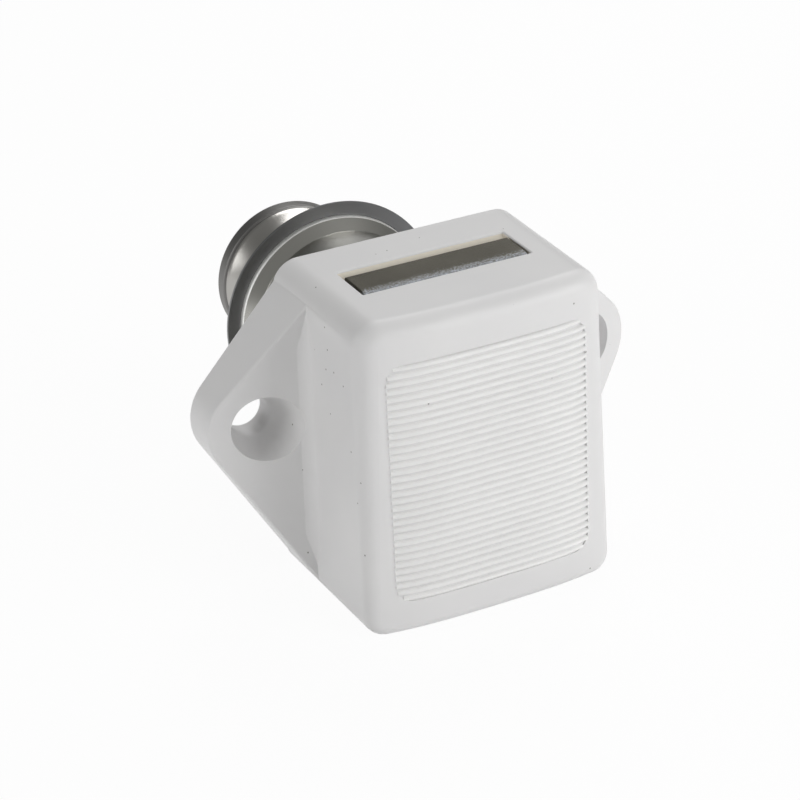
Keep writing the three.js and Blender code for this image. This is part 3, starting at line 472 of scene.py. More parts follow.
def node_group(name, inputs):
    """A Geometry Nodes tree with named float inputs and a material input."""
    tree = bpy.data.node_groups.new(name, "GeometryNodeTree")
    tree.is_modifier = True
    for label in inputs:
        kind = "NodeSocketInt" if label.endswith("Count") else "NodeSocketFloat"
        tree.interface.new_socket(label, in_out="INPUT", socket_type=kind)
    tree.interface.new_socket("Material", in_out="INPUT", socket_type="NodeSocketMaterial")
    tree.interface.new_socket("Geometry", in_out="OUTPUT", socket_type="NodeSocketGeometry")
    return tree, tree.nodes.new("NodeGroupInput").outputs, tree.nodes.new("NodeGroupOutput")


def combine(tree, x=None, y=None, z=None):
    node = tree.nodes.new("ShaderNodeCombineXYZ")
    for socket, value in zip(node.inputs, (x, y, z)):
        if isinstance(value, bpy.types.NodeSocket):
            tree.links.new(value, socket)
        elif value is not None:
            socket.default_value = value
    return node.outputs[0]


def end_group(tree, geometry, given, output):
    """Realize Instances and Set Material at the end of a tree."""
    real = tree.nodes.new("GeometryNodeRealizeInstances")
    paint = tree.nodes.new("GeometryNodeSetMaterial")
    tree.links.new(geometry, real.inputs["Geometry"])
    tree.links.new(real.outputs["Geometry"], paint.inputs["Geometry"])
    tree.links.new(given["Material"], paint.inputs["Material"])
    tree.links.new(paint.outputs["Geometry"], output.inputs["Geometry"])


def made_by(tree, name, values, material):
    """An object that holds what the tree makes from these values, as a plain mesh."""
    made = bpy.data.objects.new(name, bpy.data.meshes.new(name))
    bpy.context.scene.collection.objects.link(made)
    change = made.modifiers.new(name, "NODES")
    change.node_group = tree
    for item in tree.interface.items_tree:
        if item.in_out == "INPUT":
            change[item.identifier] = material if item.name == "Material" else values[item.name]
    return plain(made)


print("helpers for node trees are ready")

# %% Grip ribs
RIB_SAMPLES, RIB_SIDES = 65, 24


def rib_tree():
    labels = ["Count", "Pitch", "Height", "Thickness", "Width", "Top", "Corner", "Crown", "Power", "Front"]
    tree, given, output = node_group("Grip ribs", labels)
    half = math_node(tree, "MULTIPLY", given["Width"], 0.5)
    line = tree.nodes.new("GeometryNodeCurvePrimitiveLine")
    line.inputs["Start"].default_value, line.inputs["End"].default_value = (-1, 0, 0), (1, 0, 0)
    fine = tree.nodes.new("GeometryNodeResampleCurve")
    fine.inputs["Count"].default_value = RIB_SAMPLES
    tree.links.new(line.outputs[0], fine.inputs["Curve"])
    place = tree.nodes.new("GeometryNodeInputPosition")
    split = tree.nodes.new("ShaderNodeSeparateXYZ")
    tree.links.new(place.outputs[0], split.inputs[0])
    angle = math_node(tree, "MULTIPLY", split.outputs["X"], math.pi / 2)
    across = math_node(tree, "MULTIPLY", math_node(tree, "SINE", angle), half)
    aside = math_node(tree, "ABSOLUTE", math_node(tree, "DIVIDE", across, half))
    fall = math_node(tree, "MULTIPLY", math_node(tree, "POWER", aside, given["Power"]), given["Crown"])
    bent = tree.nodes.new("GeometryNodeSetPosition")
    tree.links.new(fine.outputs[0], bent.inputs["Geometry"])
    depth = math_node(tree, "SUBTRACT", fall, given["Front"])
    tree.links.new(combine(tree, across, depth), bent.inputs["Position"])

    ends = tree.nodes.new("GeometryNodeSetCurveRadius")
    tree.links.new(bent.outputs[0], ends.inputs["Curve"])
    to_end = math_node(tree, "SUBTRACT", half, math_node(tree, "ABSOLUTE", split.outputs["X"]))
    gone = math_node(tree, "SUBTRACT", 1.0, math_node(tree, "DIVIDE", to_end, given["Thickness"]))
    gone = math_node(tree, "MAXIMUM", gone, 0.0)
    left = math_node(tree, "SUBTRACT", 1.0, math_node(tree, "MULTIPLY", gone, gone))
    left = math_node(tree, "SQRT", math_node(tree, "MAXIMUM", left, 0.02))
    tree.links.new(left, ends.inputs["Radius"])
    circle = tree.nodes.new("GeometryNodeCurvePrimitiveCircle")
    circle.inputs["Resolution"].default_value = RIB_SIDES
    circle.inputs["Radius"].default_value = 1.0
    oval = tree.nodes.new("GeometryNodeTransform")
    tree.links.new(circle.outputs[0], oval.inputs["Geometry"])
    half_pitch = math_node(tree, "MULTIPLY", given["Pitch"], 0.5)
    half_rib = math_node(tree, "MULTIPLY", given["Thickness"], 0.5)
    tree.links.new(combine(tree, given["Height"], half_rib, 1.0), oval.inputs["Scale"])
    rib = tree.nodes.new("GeometryNodeCurveToMesh")
    rib.inputs["Fill Caps"].default_value = True
    tree.links.new(ends.outputs[0], rib.inputs["Curve"])
    tree.links.new(oval.outputs[0], rib.inputs["Profile Curve"])

    points = tree.nodes.new("GeometryNodeMeshLine")
    tree.links.new(given["Count"], points.inputs["Count"])
    first = math_node(tree, "SUBTRACT", given["Top"], half_pitch)
    tree.links.new(combine(tree, 0.0, 0.0, first), points.inputs["Start Location"])
    down = math_node(tree, "MULTIPLY", given["Pitch"], -1)
    tree.links.new(combine(tree, 0.0, 0.0, down), points.inputs["Offset"])
    index = tree.nodes.new("GeometryNodeInputIndex").outputs[0]
    from_end = math_node(tree, "SUBTRACT", math_node(tree, "SUBTRACT", given["Count"], 1), index)
    steps = math_node(tree, "ADD", math_node(tree, "MINIMUM", index, from_end), 0.5)
    short = math_node(tree, "SUBTRACT", given["Corner"], math_node(tree, "MULTIPLY", steps, given["Pitch"]))
    short = math_node(tree, "MAXIMUM", short, 0.0)
    corner_square = math_node(tree, "POWER", given["Corner"], 2)
    chord = math_node(tree, "SUBTRACT", corner_square, math_node(tree, "POWER", short, 2))
    inset = math_node(tree, "SUBTRACT", given["Corner"], math_node(tree, "SQRT", chord))
    length = math_node(tree, "SUBTRACT", 1.0, math_node(tree, "DIVIDE", inset, half))
    ribs = tree.nodes.new("GeometryNodeInstanceOnPoints")
    tree.links.new(points.outputs[0], ribs.inputs["Points"])
    tree.links.new(rib.outputs[0], ribs.inputs["Instance"])
    tree.links.new(combine(tree, length, 1.0, 1.0), ribs.inputs["Scale"])
    end_group(tree, ribs.outputs[0], given, output)
    return tree


rib_values = {
    "Count": RIB_COUNT, "Pitch": RIB_PITCH, "Height": RIB_HEIGHT, "Thickness": RIB_THICKNESS,
    "Width": PANEL_WIDTH, "Top": PANEL_TOP, "Corner": PANEL_CORNER,
    "Crown": PANEL_CROWN, "Power": PANEL_POWER, "Front": BOX_DEPTH - PANEL_SINK,
}
# The ribs get a lighter material than the moulding; its lighter colour paints the light that they catch.
rib_plastic_painted_light = named("rib_plastic_painted_light")
ribs = made_by(rib_tree(), "grip_ribs", rib_values, rib_plastic_painted_light)
finished(ribs, "grip_ribs", "case", "white_plastic")

# %% [markdown]
# ## Sleeve, rosette and knob
# These three are turned parts, so each is a profile spun about the Y axis, as on a lathe. The corners of a
# profile carry small radii, because it is the rounded edges that catch the light on metal.

# %% Sleeve
SLEEVE_OUTER, SLEEVE_INNER, SLEEVE_END = 10.1, 9.0, 19.0
SLEEVE_START = 0.1
FLARE_RADIUS, FLARE_START, FLARE_LIP, FLARE_TOP = 11.44, 15.6, 16.7, 17.5

sleeve_profile = rounded([
    (SLEEVE_INNER, SLEEVE_START, 0.1), (SLEEVE_OUTER, SLEEVE_START, 0.2), (SLEEVE_OUTER, FLARE_START, 0.12),
    (FLARE_RADIUS, FLARE_LIP, 0.35), (FLARE_RADIUS, FLARE_TOP, 0.1), (SLEEVE_OUTER, FLARE_TOP, 0.1),
    (SLEEVE_OUTER, SLEEVE_END, 0.45), (SLEEVE_INNER, SLEEVE_END, 0.3),
])
sleeve = finished(lathe("sleeve", sleeve_profile), "sleeve_turned", "case", "polished_sleeve", "guide_sleeve")

# %% Rosette
ROSETTE_RADIUS, ROSETTE_BORE, ROSETTE_TOP, ROSETTE_EDGE = 13.0, 10.4, 19.15, 17.4
RECESS_RADIUS, RECESS_FLOOR, ROSETTE_BREAK = 11.45, 17.6, 0.06
swell = []
for share in np.linspace(0, 1, 25):
    rise = (ROSETTE_TOP - ROSETTE_EDGE) * math.sin(share * math.pi / 2)
    swell.append((ROSETTE_RADIUS - (ROSETTE_RADIUS - ROSETTE_BORE) * share, ROSETTE_EDGE + rise))
rosette_profile = [
    (ROSETTE_BORE, RECESS_FLOOR), (RECESS_RADIUS, RECESS_FLOOR), (RECESS_RADIUS, DOOR_GRIP + ROSETTE_BREAK),
    (RECESS_RADIUS + ROSETTE_BREAK, DOOR_GRIP), (ROSETTE_RADIUS - ROSETTE_BREAK, DOOR_GRIP),
    (ROSETTE_RADIUS, DOOR_GRIP + ROSETTE_BREAK), *swell,
]
ring = lathe("rosette", rosette_profile)
rosette = finished(ring, "rosette_turned", "case", "rosette_metal", "rosette_ring")

# %% [markdown]
# The knob's neck widens slowly and then fast, which a power of the distance gives. A small groove parts it
# from the rim, and the face is crowned.

# %% Knob
KNOB_RADIUS, KNOB_FACE, KNOB_CROWN, KNOB_WAIST = 8.7, 30.05, 0.35, 6.4
KNOB_NECK, NECK_POWER, RIM_BACK, GROOVE = 17.3, 2.5, 28.15, 0.25
SOCKET_RADIUS, SOCKET_END = 3.3, 25.7
RIM_ROUND, FACE_ROUND, FACE_DROP, FACE_REACH = 0.2, 0.45, 0.43, 8.15
neck = []
for share in np.linspace(0, 1, 33):
    radius = KNOB_WAIST + (KNOB_RADIUS - GROOVE - KNOB_WAIST) * share ** NECK_POWER
    neck.append((radius, KNOB_NECK + (RIM_BACK - GROOVE - KNOB_NECK) * share))
crown_curve = [
    (radius, KNOB_FACE + KNOB_CROWN * (1 - (radius / KNOB_RADIUS) ** 2))
    for radius in np.linspace(FACE_REACH, 0, 12)
]
knob_profile = [
    (0, SOCKET_END), (SOCKET_RADIUS, SOCKET_END), (SOCKET_RADIUS, KNOB_NECK), *neck,
    (KNOB_RADIUS - GROOVE, RIM_BACK), *arc(KNOB_RADIUS - RIM_ROUND, RIM_BACK + GROOVE, RIM_ROUND, -60, 0, 4),
    *arc(KNOB_RADIUS - FACE_ROUND, KNOB_FACE - FACE_DROP, FACE_ROUND, 0, 80, 8), *crown_curve,
]
knob = finished(lathe("knob", knob_profile), "knob_turned", "button", "satin_nickel", "knob")

# %% [markdown]
# ## Bolt
# A metal block with a rounded nose, and two cheeks with slanting cam slots that hang from it inside the
# housing. It is a die casting, so its outline is extruded with the radii already in it and only the ends need
# a bevel. Each cheek keeps the same margin round both ends of its slot.

# %% Bolt
BOLT_X, BOLT_FRONT, BOLT_BACK, BOLT_TOP, BOLT_BOTTOM = 9.45, -11.9, -7.05, 15.85, 4.3
CHEEK_INNER, CHEEK_OUTER, CHEEK_MARGIN, CHEEK_KNEE, CHEEK_TOP = 5.7, 7.9, 2.75, -14.55, 4.8
CAM_RADIUS, CAM_START, CAM_END = 1.3, (-5.05, 0.0), (-15.35, -8.674)
NOSE_RUN, NOSE_DROP = 1.3, 0.3
BOLT_BEVEL, CHEEK_LAP = 0.14, 0.05


def prism_x(name, outline, low, high):
    return loft(name, [[(x, y, z) for y, z in outline] for x in (low, high)])


nose_radius = (NOSE_RUN ** 2 + NOSE_DROP ** 2) / (2 * NOSE_DROP)
nose_turn = math.degrees(math.asin(NOSE_RUN / nose_radius))
nose = arc(BOLT_FRONT + NOSE_RUN, BOLT_TOP - nose_radius, nose_radius, 90, 90 + nose_turn, 10)
bolt = prism_x("bolt", rounded([
    (BOLT_FRONT, BOLT_BOTTOM, 0.2), (BOLT_BACK, BOLT_BOTTOM, 0.2), (BOLT_BACK, BOLT_TOP, 0.25),
    *[(y, z, 0) for y, z in nose[:-1]], (*nose[-1], 0.15),
]), -BOLT_X, BOLT_X)


def on_bolt_end(a, b):
    return abs(a.x - b.x) < 1e-4 and abs(a.x) > BOLT_X - 1e-3


print("bolt end edges", soften(bolt, on_bolt_end, BOLT_BEVEL))
cheek_front, cheek_foot = CAM_END[0] - CHEEK_MARGIN, CAM_END[1] - CHEEK_MARGIN
cheek = [
    (cheek_front, cheek_foot, 0.3), (CHEEK_KNEE, cheek_foot, 0.6), (CHEEK_BACK, -CHEEK_MARGIN, 0.6),
    (CHEEK_BACK, CHEEK_MARGIN, 0.3), (BOLT_BACK, CHEEK_MARGIN, 0.3), (BOLT_BACK - CHEEK_LAP, CHEEK_TOP, 0),
    (BOLT_FRONT + CHEEK_LAP, CHEEK_TOP, 0), (BOLT_FRONT, CHEEK_MARGIN, 0.3),
    (cheek_front, CAM_END[1] + CHEEK_MARGIN, 0.3),
]
lean = math.degrees(math.atan2(CAM_END[1] - CAM_START[1], CAM_END[0] - CAM_START[0]))
cam_slot = arc(*CAM_START, CAM_RADIUS, lean + 90, lean + 270, 16)
cam_slot += arc(*CAM_END, CAM_RADIUS, lean - 90, lean + 90, 16)
for side in (-1, 1):
    ends = sorted((side * CHEEK_INNER, side * CHEEK_OUTER))
    slotted = prism_x("cheek", rounded(cheek), *ends)
    boolean(slotted, prism_x("cam", cam_slot, ends[0] - 1, ends[1] + 1), "DIFFERENCE")
    boolean(bolt, slotted, "UNION")
finished(bolt, "bolt_cast", "bolt", "bolt_metal", "latch_bolt")

# %% [markdown]
# ## Cover screws
# Two small countersunk screws hold the cover. One screw is turned and gets its cross recess by a boolean;
# Geometry Nodes then sets it on two points and turns each by its own angle, as screws never stop at the same
# angle.

# %% Cover screws
SCREW_RADIUS, SCREW_HEAD, SCREW_LENGTH = 0.9, 1.9, 9.0
SINK, HEAD_EDGE = 0.1, 0.08
CROSS_REACH, CROSS_HALF, CROSS_DEPTH = 1.05, 0.2, 0.9


def screw_tree(pattern):
    tree, given, output = node_group("Cover screws", ["Count", "Spacing", "Height", "Turn"])
    points = tree.nodes.new("GeometryNodeMeshLine")
    tree.links.new(given["Count"], points.inputs["Count"])
    half = math_node(tree, "MULTIPLY", given["Spacing"], -0.5)
    tree.links.new(combine(tree, half, 0.0, given["Height"]), points.inputs["Start Location"])
    tree.links.new(combine(tree, given["Spacing"]), points.inputs["Offset"])
    info = tree.nodes.new("GeometryNodeObjectInfo")
    info.inputs["Object"].default_value = pattern
    index = tree.nodes.new("GeometryNodeInputIndex").outputs[0]
    turn = math_node(tree, "ADD", math_node(tree, "MULTIPLY", index, given["Turn"]), given["Turn"])
    screws = tree.nodes.new("GeometryNodeInstanceOnPoints")
    tree.links.new(points.outputs[0], screws.inputs["Points"])
    tree.links.new(info.outputs["Geometry"], screws.inputs["Instance"])
    tree.links.new(combine(tree, 0.0, turn, 0.0), screws.inputs["Rotation"])
    end_group(tree, screws.outputs[0], given, output)
    return tree


pattern = lathe("screw", [
    (0, -SCREW_LENGTH), (SCREW_RADIUS, SCREW_RADIUS - SCREW_LENGTH),
    (SCREW_RADIUS, SCREW_RADIUS - SCREW_HEAD - SINK), (SCREW_HEAD - HEAD_EDGE, -SINK - HEAD_EDGE),
    (SCREW_HEAD, -SINK - HEAD_EDGE / 2), (SCREW_HEAD - HEAD_EDGE * 0.75, -SINK), (0, -SINK),
], 48)
for x, z in ((CROSS_REACH, CROSS_HALF), (CROSS_HALF, CROSS_REACH)):
    boolean(pattern, box((-x, -CROSS_DEPTH, -z), (x, SINK, z)), "DIFFERENCE")
steel = named("steel")
screw_values = {"Count": 2, "Spacing": 2 * BOSS_X, "Height": BOSS_Z, "Turn": 0.45}
screws = made_by(screw_tree(pattern), "cover_screws", screw_values, steel)
pattern_mesh = pattern.data
bpy.data.objects.remove(pattern)
bpy.data.meshes.remove(pattern_mesh)
finished(screws, "cover_screws", "case", "steel", "cover_screw_left", "cover_screw_right")

# %% [markdown]
# ## Return spring
# A coil is a circle swept along a helix. A Screw modifier could do it too; in Geometry Nodes the Spiral curve
# has its turns, radius and height as inputs. In the latch the spring shortens towards the front wall when the
# button goes in; this coil is built at one length.

# %% Return spring
SPRING_RADIUS, SPRING_WIRE, SPRING_TURNS = 1.9, 0.6, 10.0
SPRING_LOW, SPRING_HIGH = -17.8, 0.9


def spring_tree():
    tree, given, output = node_group("Coil spring", ["Turns", "Radius", "Wire", "Length", "Start"])
    helix = tree.nodes.new("GeometryNodeCurveSpiral")
    helix.inputs["Resolution"].default_value = 40
    for label in ("Start Radius", "End Radius"):
        tree.links.new(given["Radius"], helix.inputs[label])
    tree.links.new(given["Turns"], helix.inputs["Rotations"])
    tree.links.new(given["Length"], helix.inputs["Height"])
    laid = tree.nodes.new("GeometryNodeTransform")
    laid.inputs["Rotation"].default_value = (-math.pi / 2, 0, 0)
    tree.links.new(helix.outputs[0], laid.inputs["Geometry"])
    tree.links.new(combine(tree, 0.0, given["Start"], 0.0), laid.inputs["Translation"])
    circle = tree.nodes.new("GeometryNodeCurvePrimitiveCircle")
    circle.inputs["Resolution"].default_value = 14
    tree.links.new(math_node(tree, "MULTIPLY", given["Wire"], 0.5), circle.inputs["Radius"])
    wire = tree.nodes.new("GeometryNodeCurveToMesh")
    wire.inputs["Fill Caps"].default_value = True
    tree.links.new(laid.outputs[0], wire.inputs["Curve"])
    tree.links.new(circle.outputs[0], wire.inputs["Profile Curve"])
    end_group(tree, wire.outputs[0], given, output)
    return tree


spring_steel = named("spring_steel")
spring_values = {
    "Turns": SPRING_TURNS, "Radius": SPRING_RADIUS, "Wire": SPRING_WIRE, "Length": SPRING_HIGH - SPRING_LOW,
    "Start": SPRING_LOW,
}
spring = made_by(spring_tree(), "spring_coil", spring_values, spring_steel)
finished(spring, "spring_coil", "case", "spring_steel", "return_spring")
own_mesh(spring)

# %% [markdown]
# ## Materials
# Every material is procedural and uses Object coordinates, in metres. Small node groups are shared: specks of
# dust, a box that limits a finish to one zone of a piece, a ragged painted glint along an edge, and noise for
# slow changes of tone, for a fine grain and for the strokes across the bolt. A painted texture could do all
# this, but it would need unwrapped meshes, and Object coordinates don't.

# %% Shared node groups
def shader_group(name, inputs, output):
    tree = bpy.data.node_groups.new(name, "ShaderNodeTree")
    for label, value in inputs.items():
        kind = "NodeSocketVector" if isinstance(value, tuple) else "NodeSocketFloat"
        tree.interface.new_socket(label, in_out="INPUT", socket_type=kind).default_value = value
    tree.interface.new_socket(output, in_out="OUTPUT", socket_type="NodeSocketFloat")
    given = tree.nodes.new("NodeGroupInput").outputs
    place = tree.nodes.new("ShaderNodeTexCoord").outputs["Object"]
    return tree, given, place, tree.nodes.new("NodeGroupOutput").inputs[output]


def vector_node(tree, operation, first, second=None):
    node = tree.nodes.new("ShaderNodeVectorMath")
    node.operation = operation
    for socket, value in zip(node.inputs, (first, second)):
        if isinstance(value, bpy.types.NodeSocket):
            tree.links.new(value, socket)
        elif value is not None:
            socket.default_value = value
    return node


def specks_group():
    inputs = {"Scale": 300.0, "Size": 0.05, "Share": 0.2}
    tree, given, place, out = shader_group("Dust specks", inputs, "Speck")
    cells = tree.nodes.new("ShaderNodeTexVoronoi")
    tree.links.new(place, cells.inputs["Vector"])
    tree.links.new(given["Scale"], cells.inputs["Scale"])
    split = tree.nodes.new("ShaderNodeSeparateColor")
    tree.links.new(cells.outputs["Color"], split.inputs[0])
    near = math_node(tree, "LESS_THAN", cells.outputs["Distance"], given["Size"])
    some = math_node(tree, "LESS_THAN", split.outputs[0], given["Share"])
    tree.links.new(math_node(tree, "MULTIPLY", near, some), out)
    return tree


def noise_group(name, detail, stretch):
    tree, given, place, out = shader_group(name, {"Scale": 100.0}, "Tone")
    stretched = vector_node(tree, "MULTIPLY", place, stretch)
    noise = tree.nodes.new("ShaderNodeTexNoise")
    noise.inputs["Detail"].default_value = detail
    tree.links.new(stretched.outputs[0], noise.inputs["Vector"])
    tree.links.new(given["Scale"], noise.inputs["Scale"])
    tree.links.new(noise.outputs[0], out)
    return tree


def within_group():
    """One inside the box between two corners, and nought outside it."""
    inputs = {"Low": (0, 0, 0), "High": (1, 1, 1)}
    tree, given, place, out = shader_group("Within a box", inputs, "Inside")
    above = vector_node(tree, "SUBTRACT", place, given["Low"]).outputs[0]
    below = vector_node(tree, "SUBTRACT", given["High"], place).outputs[0]
    split = tree.nodes.new("ShaderNodeSeparateXYZ")
    tree.links.new(vector_node(tree, "MINIMUM", above, below).outputs[0], split.inputs[0])
    least = math_node(tree, "MINIMUM", *split.outputs[1:])
    depth = math_node(tree, "MINIMUM", split.outputs["X"], least)
    tree.links.new(math_node(tree, "GREATER_THAN", depth, 0.0), out)
    return tree


def edge_glint_group():
    """A ragged painted glint along an edge that runs in X through a point."""
    inputs = {"Edge": (0.0, 0.0, 0.0), "Reach": 0.001, "Scale": 100.0}
    tree, given, place, out = shader_group("Painted edge glint", inputs, "Glint")
    away = vector_node(tree, "SUBTRACT", place, given["Edge"]).outputs[0]
    across = vector_node(tree, "MULTIPLY", away, (0, 1, 1)).outputs[0]
    far = vector_node(tree, "LENGTH", across).outputs["Value"]
    noise = tree.nodes.new("ShaderNodeTexNoise")
    noise.inputs["Detail"].default_value = 5.0
    tree.links.new(place, noise.inputs["Vector"])
    tree.links.new(given["Scale"], noise.inputs["Scale"])
    near = math_node(tree, "SUBTRACT", 1.0, math_node(tree, "DIVIDE", far, given["Reach"]))
    ragged = math_node(tree, "MULTIPLY", math_node(tree, "SUBTRACT", noise.outputs[0], 0.6), 2.2)
    share = math_node(tree, "MAXIMUM", math_node(tree, "ADD", near, ragged), 0.0)
    tree.links.new(math_node(tree, "MINIMUM", share, 1.0), out)
    return tree


specks = specks_group()
within = within_group()
edge_glint_tree = edge_glint_group()
tone = noise_group("Slow tone", 3.0, (1, 1, 1))
grain = noise_group("Fine grain", 4.0, (1, 1, 1))
strokes = noise_group("Cross strokes", 5.0, (4, 2.5, 1))
print("node groups:", [g.name for g in (specks, within, edge_glint_tree, tone, grain, strokes)])

# %% Helpers for materials
BUMP_HEIGHT = 0.05


def use(tree, group, **values):
    node = tree.nodes.new("ShaderNodeGroup")
    node.node_tree = group
    for label, value in values.items():
        node.inputs[label].default_value = value
    return node.outputs[0]


def blend(tree, share, low, high):
    """A colour between two colours."""
    node = tree.nodes.new("ShaderNodeMix")
    node.data_type = "RGBA"
    tree.links.new(share, node.inputs["Factor"])
    for label, value in (("A", low), ("B", high)):
        socket = next(s for s in node.inputs if s.name == label and s.type == "RGBA")
        if isinstance(value, bpy.types.NodeSocket):
            tree.links.new(value, socket)
        else:
            socket.default_value = (*value, 1)
    return next(s for s in node.outputs if s.type == "RGBA")


def between(tree, share, low, high):
    node = tree.nodes.new("ShaderNodeMapRange")
    node.inputs["From Min"].default_value, node.inputs["From Max"].default_value = 0.3, 0.7
    node.inputs["To Min"].default_value, node.inputs["To Max"].default_value = low, high
    tree.links.new(share, node.inputs["Value"])
    return node.outputs[0]


def surface(
    material, color, other, roughness, metallic, grain_scale, bump,
    relief=grain, dust=None, zones=(), edge_glint=None,
):
    """A Principled material with a slow change of tone and a grain; dust, zones and a painted edge glint on
    request.
    """
    material.use_nodes = True
    tree = material.node_tree
    shader = tree.nodes["Principled BSDF"]
    shader.inputs["Metallic"].default_value = metallic
    slow = use(tree, tone, Scale=90.0)
    paint = blend(tree, between(tree, slow, 0.0, 1.0), color, other)
    if dust:
        dusty = use(tree, specks, Scale=700.0, Size=0.07, Share=0.12)
        paint = blend(tree, dusty, paint, dust)
    if edge_glint:
        edge, reach, glint_color = edge_glint
        glint_share = use(tree, edge_glint_tree, Edge=[v * MM for v in edge], Reach=reach * MM, Scale=4500.0)
        paint = blend(tree, glint_share, paint, glint_color)
    gloss = between(tree, slow, *roughness)
    for low, high, zone_color, zone_roughness in zones:
        inside = use(tree, within, Low=[v * MM for v in low], High=[v * MM for v in high])
        paint = blend(tree, inside, paint, zone_color)
        rougher = math_node(tree, "MULTIPLY", inside, zone_roughness - roughness[0])
        gloss = math_node(tree, "ADD", gloss, rougher)
    tree.links.new(paint, shader.inputs["Base Color"])
    tree.links.new(gloss, shader.inputs["Roughness"])
    height = tree.nodes.new("ShaderNodeBump")
    height.inputs["Strength"].default_value = bump
    height.inputs["Distance"].default_value = BUMP_HEIGHT * MM
    tree.links.new(use(tree, relief, Scale=grain_scale), height.inputs["Height"])
    tree.links.new(height.outputs[0], shader.inputs["Normal"])
    print(material.name, len(tree.nodes), "nodes")


# %% [markdown]
# A zone gives one part of a piece another colour and roughness: the slot's walls carry a painted warm shade,
# the knob's rim is darker and duller than its neck, and the flare's lip carries a painted highlight where it
# meets the rosette. The ribs are a little glossier than the rest of the moulding, and a lighter colour paints
# the light that they catch.

# %% Plastics and metals
EASE = 0.1
# Painted warm shade: a warm tint on the walls of the slot, where the moulding lies in shade.
slot_painted_shade = (
    (-SLOT_X - EASE, SLOT_FRONT - EASE, CAVITY_TOP - 1),
    (SLOT_X + EASE, SLOT_BACK + EASE, BOX_RISE - SLOT_RIM), (0.86, 0.80, 0.69), 0.4,
)
knob_rim = (
    (-KNOB_RADIUS - EASE, RIM_BACK - EASE, -KNOB_RADIUS - EASE),
    (KNOB_RADIUS + EASE, KNOB_FACE + 1, KNOB_RADIUS + EASE), (0.23, 0.226, 0.22), 0.45,
)
# A painted highlight: a near-white band on the flare's lip where it meets the rosette.
flare_lip_painted_highlight = (
    (-FLARE_RADIUS - EASE, FLARE_LIP - EASE, -FLARE_RADIUS - EASE),
    (FLARE_RADIUS + EASE, DOOR_GRIP + EASE, FLARE_RADIUS + EASE), (0.9, 0.9, 0.88), 0.6,
)
surface(
    named("white_plastic"), (0.805, 0.80, 0.80), (0.78, 0.775, 0.78), (0.40, 0.48), 0, 900.0, 0.12,
    dust=(0.3, 0.29, 0.27), zones=[slot_painted_shade],
)
# Lighter than the moulding's white: painted light on the ribs, with a glossier finish.
surface(rib_plastic_painted_light, (0.92, 0.915, 0.91), (0.90, 0.895, 0.89), (0.28, 0.34), 0, 900.0, 0.1)
surface(named("cover_plastic"), (0.72, 0.71, 0.67), (0.68, 0.67, 0.63), (0.45, 0.55), 0, 900.0, 0.15)
surface(named("sliding_plastic"), (0.022, 0.023, 0.025), (0.03, 0.03, 0.032), (0.4, 0.5), 0, 900.0, 0.1)
surface(
    named("satin_nickel"), (0.45, 0.44, 0.42), (0.41, 0.40, 0.38), (0.26, 0.32), 1, 4000.0, 0.12,
    zones=[knob_rim],
)
surface(
    named("polished_sleeve"), (0.44, 0.435, 0.41), (0.40, 0.395, 0.37), (0.26, 0.32), 1, 3000.0, 0.08,
    zones=[flare_lip_painted_highlight],
)
surface(named("rosette_metal"), (0.27, 0.272, 0.276), (0.23, 0.232, 0.236), (0.36, 0.44), 1, 3000.0, 0.15)
# The bolt's nose carries a painted glint: a ragged bluish-white band along its front edge.
surface(
    named("bolt_metal"), (0.1, 0.094, 0.077), (0.077, 0.072, 0.06), (0.44, 0.52), 1, 2500.0, 1.0, strokes,
    edge_glint=((0, BOLT_FRONT, BOLT_TOP - NOSE_DROP), 1.5, (0.33, 0.35, 0.385)),
)
surface(steel, (0.50, 0.505, 0.51), (0.45, 0.455, 0.46), (0.26, 0.34), 1, 2500.0, 0.1)
surface(spring_steel, (0.36, 0.365, 0.37), (0.32, 0.325, 0.33), (0.28, 0.36), 1, 2500.0, 0.1)

# %% Materials on the pieces
steel_nodes = ("knob_stem", "stem_pin", "drive_pin_left", "drive_pin_right", "track_follower")
finish_of = {
    "white_plastic": [housing], "rib_plastic_painted_light": [ribs], "cover_plastic": [nodes["base_cover"]],
    "sliding_plastic": [nodes["plunger"]], "satin_nickel": [knob], "polished_sleeve": [sleeve],
    "rosette_metal": [rosette], "bolt_metal": [bolt], "steel": [screws, *[nodes[n] for n in steel_nodes]],
    "spring_steel": [spring, nodes["follower_leaf"]],
}
for name, pieces in finish_of.items():
    for piece in pieces:
        piece.data.materials.clear()
        piece.data.materials.append(named(name))
print("materials on", sum(len(p) for p in finish_of.values()), "pieces")

# %% [markdown]
# ## Stage
# The photo is a cut-out on white. A pale floor stays under the latch and keeps its soft shadow; the camera
# and the metal see most of the floor as plain white, which is what Light Path is for.

# %% Floor
scene = bpy.context.scene
FLOOR_SIZE, FLOOR_GAP, FLOOR_WHITE = 3000, 0.02, 0.95
corners = [(a * FLOOR_SIZE, b * FLOOR_SIZE, 0) for a, b in ((-1, -1), (1, -1), (1, 1), (-1, 1))]
floor = solid("floor", corners, [(0, 1, 2, 3)])
floor.data.transform(Matrix.Translation((0, 0, -BOX_DROP - FLOOR_GAP)))
floor.data.transform(Matrix.Scale(MM, 4))
floor_paint = bpy.data.materials.new("floor")
floor_paint.use_nodes = True
tree = floor_paint.node_tree
tree.nodes.clear()
matt = tree.nodes.new("ShaderNodeBsdfDiffuse")
matt.inputs["Color"].default_value = (FLOOR_WHITE, FLOOR_WHITE, FLOOR_WHITE, 1)
glow = tree.nodes.new("ShaderNodeEmission")
glow.inputs["Strength"].default_value = 1.0
path = tree.nodes.new("ShaderNodeLightPath").outputs
seen = math_node(tree, "MAXIMUM", path["Is Camera Ray"], path["Is Glossy Ray"])
seen = math_node(tree, "MAXIMUM", seen, path["Is Transmission Ray"])
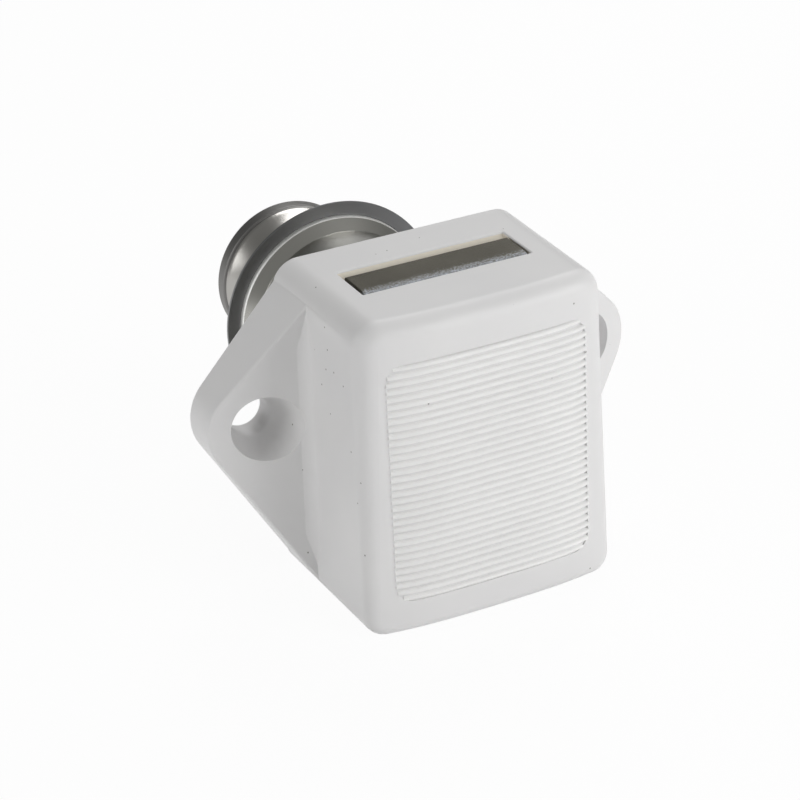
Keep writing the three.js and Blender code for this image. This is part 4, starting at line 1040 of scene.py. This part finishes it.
mix = tree.nodes.new("ShaderNodeMixShader")
tree.links.new(math_node(tree, "MULTIPLY", seen, FLOOR_WHITE), mix.inputs[0])
tree.links.new(matt.outputs[0], mix.inputs[1])
tree.links.new(glow.outputs[0], mix.inputs[2])
tree.links.new(mix.outputs[0], tree.nodes.new("ShaderNodeOutputMaterial").inputs["Surface"])
floor.data.materials.append(floor_paint)
print("floor at", -BOX_DROP - FLOOR_GAP, "mm")

# %% [markdown]
# The room is brighter towards the front and above, so that the metal has something to mirror. Three round
# soft boxes model the plastic: one in front on the right, one above and behind, and one on the left.

# %% Light
world = bpy.data.worlds.new("studio")
world.use_nodes = True
scene.world = world
tree = world.node_tree
towards = tree.nodes.new("ShaderNodeVectorMath")
towards.operation = "DOT_PRODUCT"
towards.inputs[1].default_value = Vector((-0.1, -0.75, 0.65)).normalized()
tree.links.new(tree.nodes.new("ShaderNodeTexCoord").outputs["Generated"], towards.inputs[0])
sky = tree.nodes.new("ShaderNodeMapRange")
sky.inputs["From Min"].default_value, sky.inputs["From Max"].default_value = -0.3, 1.0
sky.inputs["To Min"].default_value, sky.inputs["To Max"].default_value = 0.12, 0.336
tree.links.new(towards.outputs["Value"], sky.inputs["Value"])
tree.nodes["Background"].inputs["Color"].default_value = (1.0, 1.0, 0.98, 1)
tree.links.new(sky.outputs[0], tree.nodes["Background"].inputs["Strength"])


def lamp(name, place, aim, size, watts):
    light = bpy.data.lights.new(name, "AREA")
    light.shape, light.size, light.energy = "DISK", size * MM, watts
    made = bpy.data.objects.new(name, light)
    made.location = Vector(place) * MM
    made.rotation_euler = (Vector(aim) - Vector(place)).to_track_quat("-Z", "Y").to_euler()
    scene.collection.objects.link(made)
    return made


lamp("softbox_right", (180, -290, 120), (0, -10, 0), 220, 0.62)
lamp("softbox_top", (150, 190, 290), (0, 0, 0), 260, 0.53)
lamp("softbox_left", (-345, 5, 110), (0, 0, 0), 220, 0.33)

# %% [markdown]
# The camera stands where the photo was taken from: above the left front corner, with a long lens and a small
# roll. Its axes are built from azimuth, elevation and roll, which is easier to read than Euler angles.

# %% Camera
CAMERA_PLACE = (-116.962, -243.949, 134.012)
camera = bpy.data.objects.new("camera", bpy.data.cameras.new("camera"))
scene.collection.objects.link(camera)
azimuth, elevation, roll = np.radians((-25.530, 27.002, -2.818))
back = Vector((
    math.sin(azimuth) * math.cos(elevation), -math.cos(azimuth) * math.cos(elevation), math.sin(elevation),
))
right = (-back).cross(Vector((0, 0, 1))).normalized()
up = right.cross(-back)
turned_right = right * math.cos(roll) + up * math.sin(roll)
turned_up = up * math.cos(roll) - right * math.sin(roll)
turn = Matrix((turned_right, turned_up, back)).transposed().to_4x4()
camera.matrix_world = Matrix.Translation(Vector(CAMERA_PLACE) * MM) @ turn
camera.data.sensor_width, camera.data.lens = 36, 125.87
camera.data.clip_start, camera.data.clip_end = 0.01, 20
scene.camera = camera
scene.view_settings.view_transform = "Standard"
print("camera at", CAMERA_PLACE)
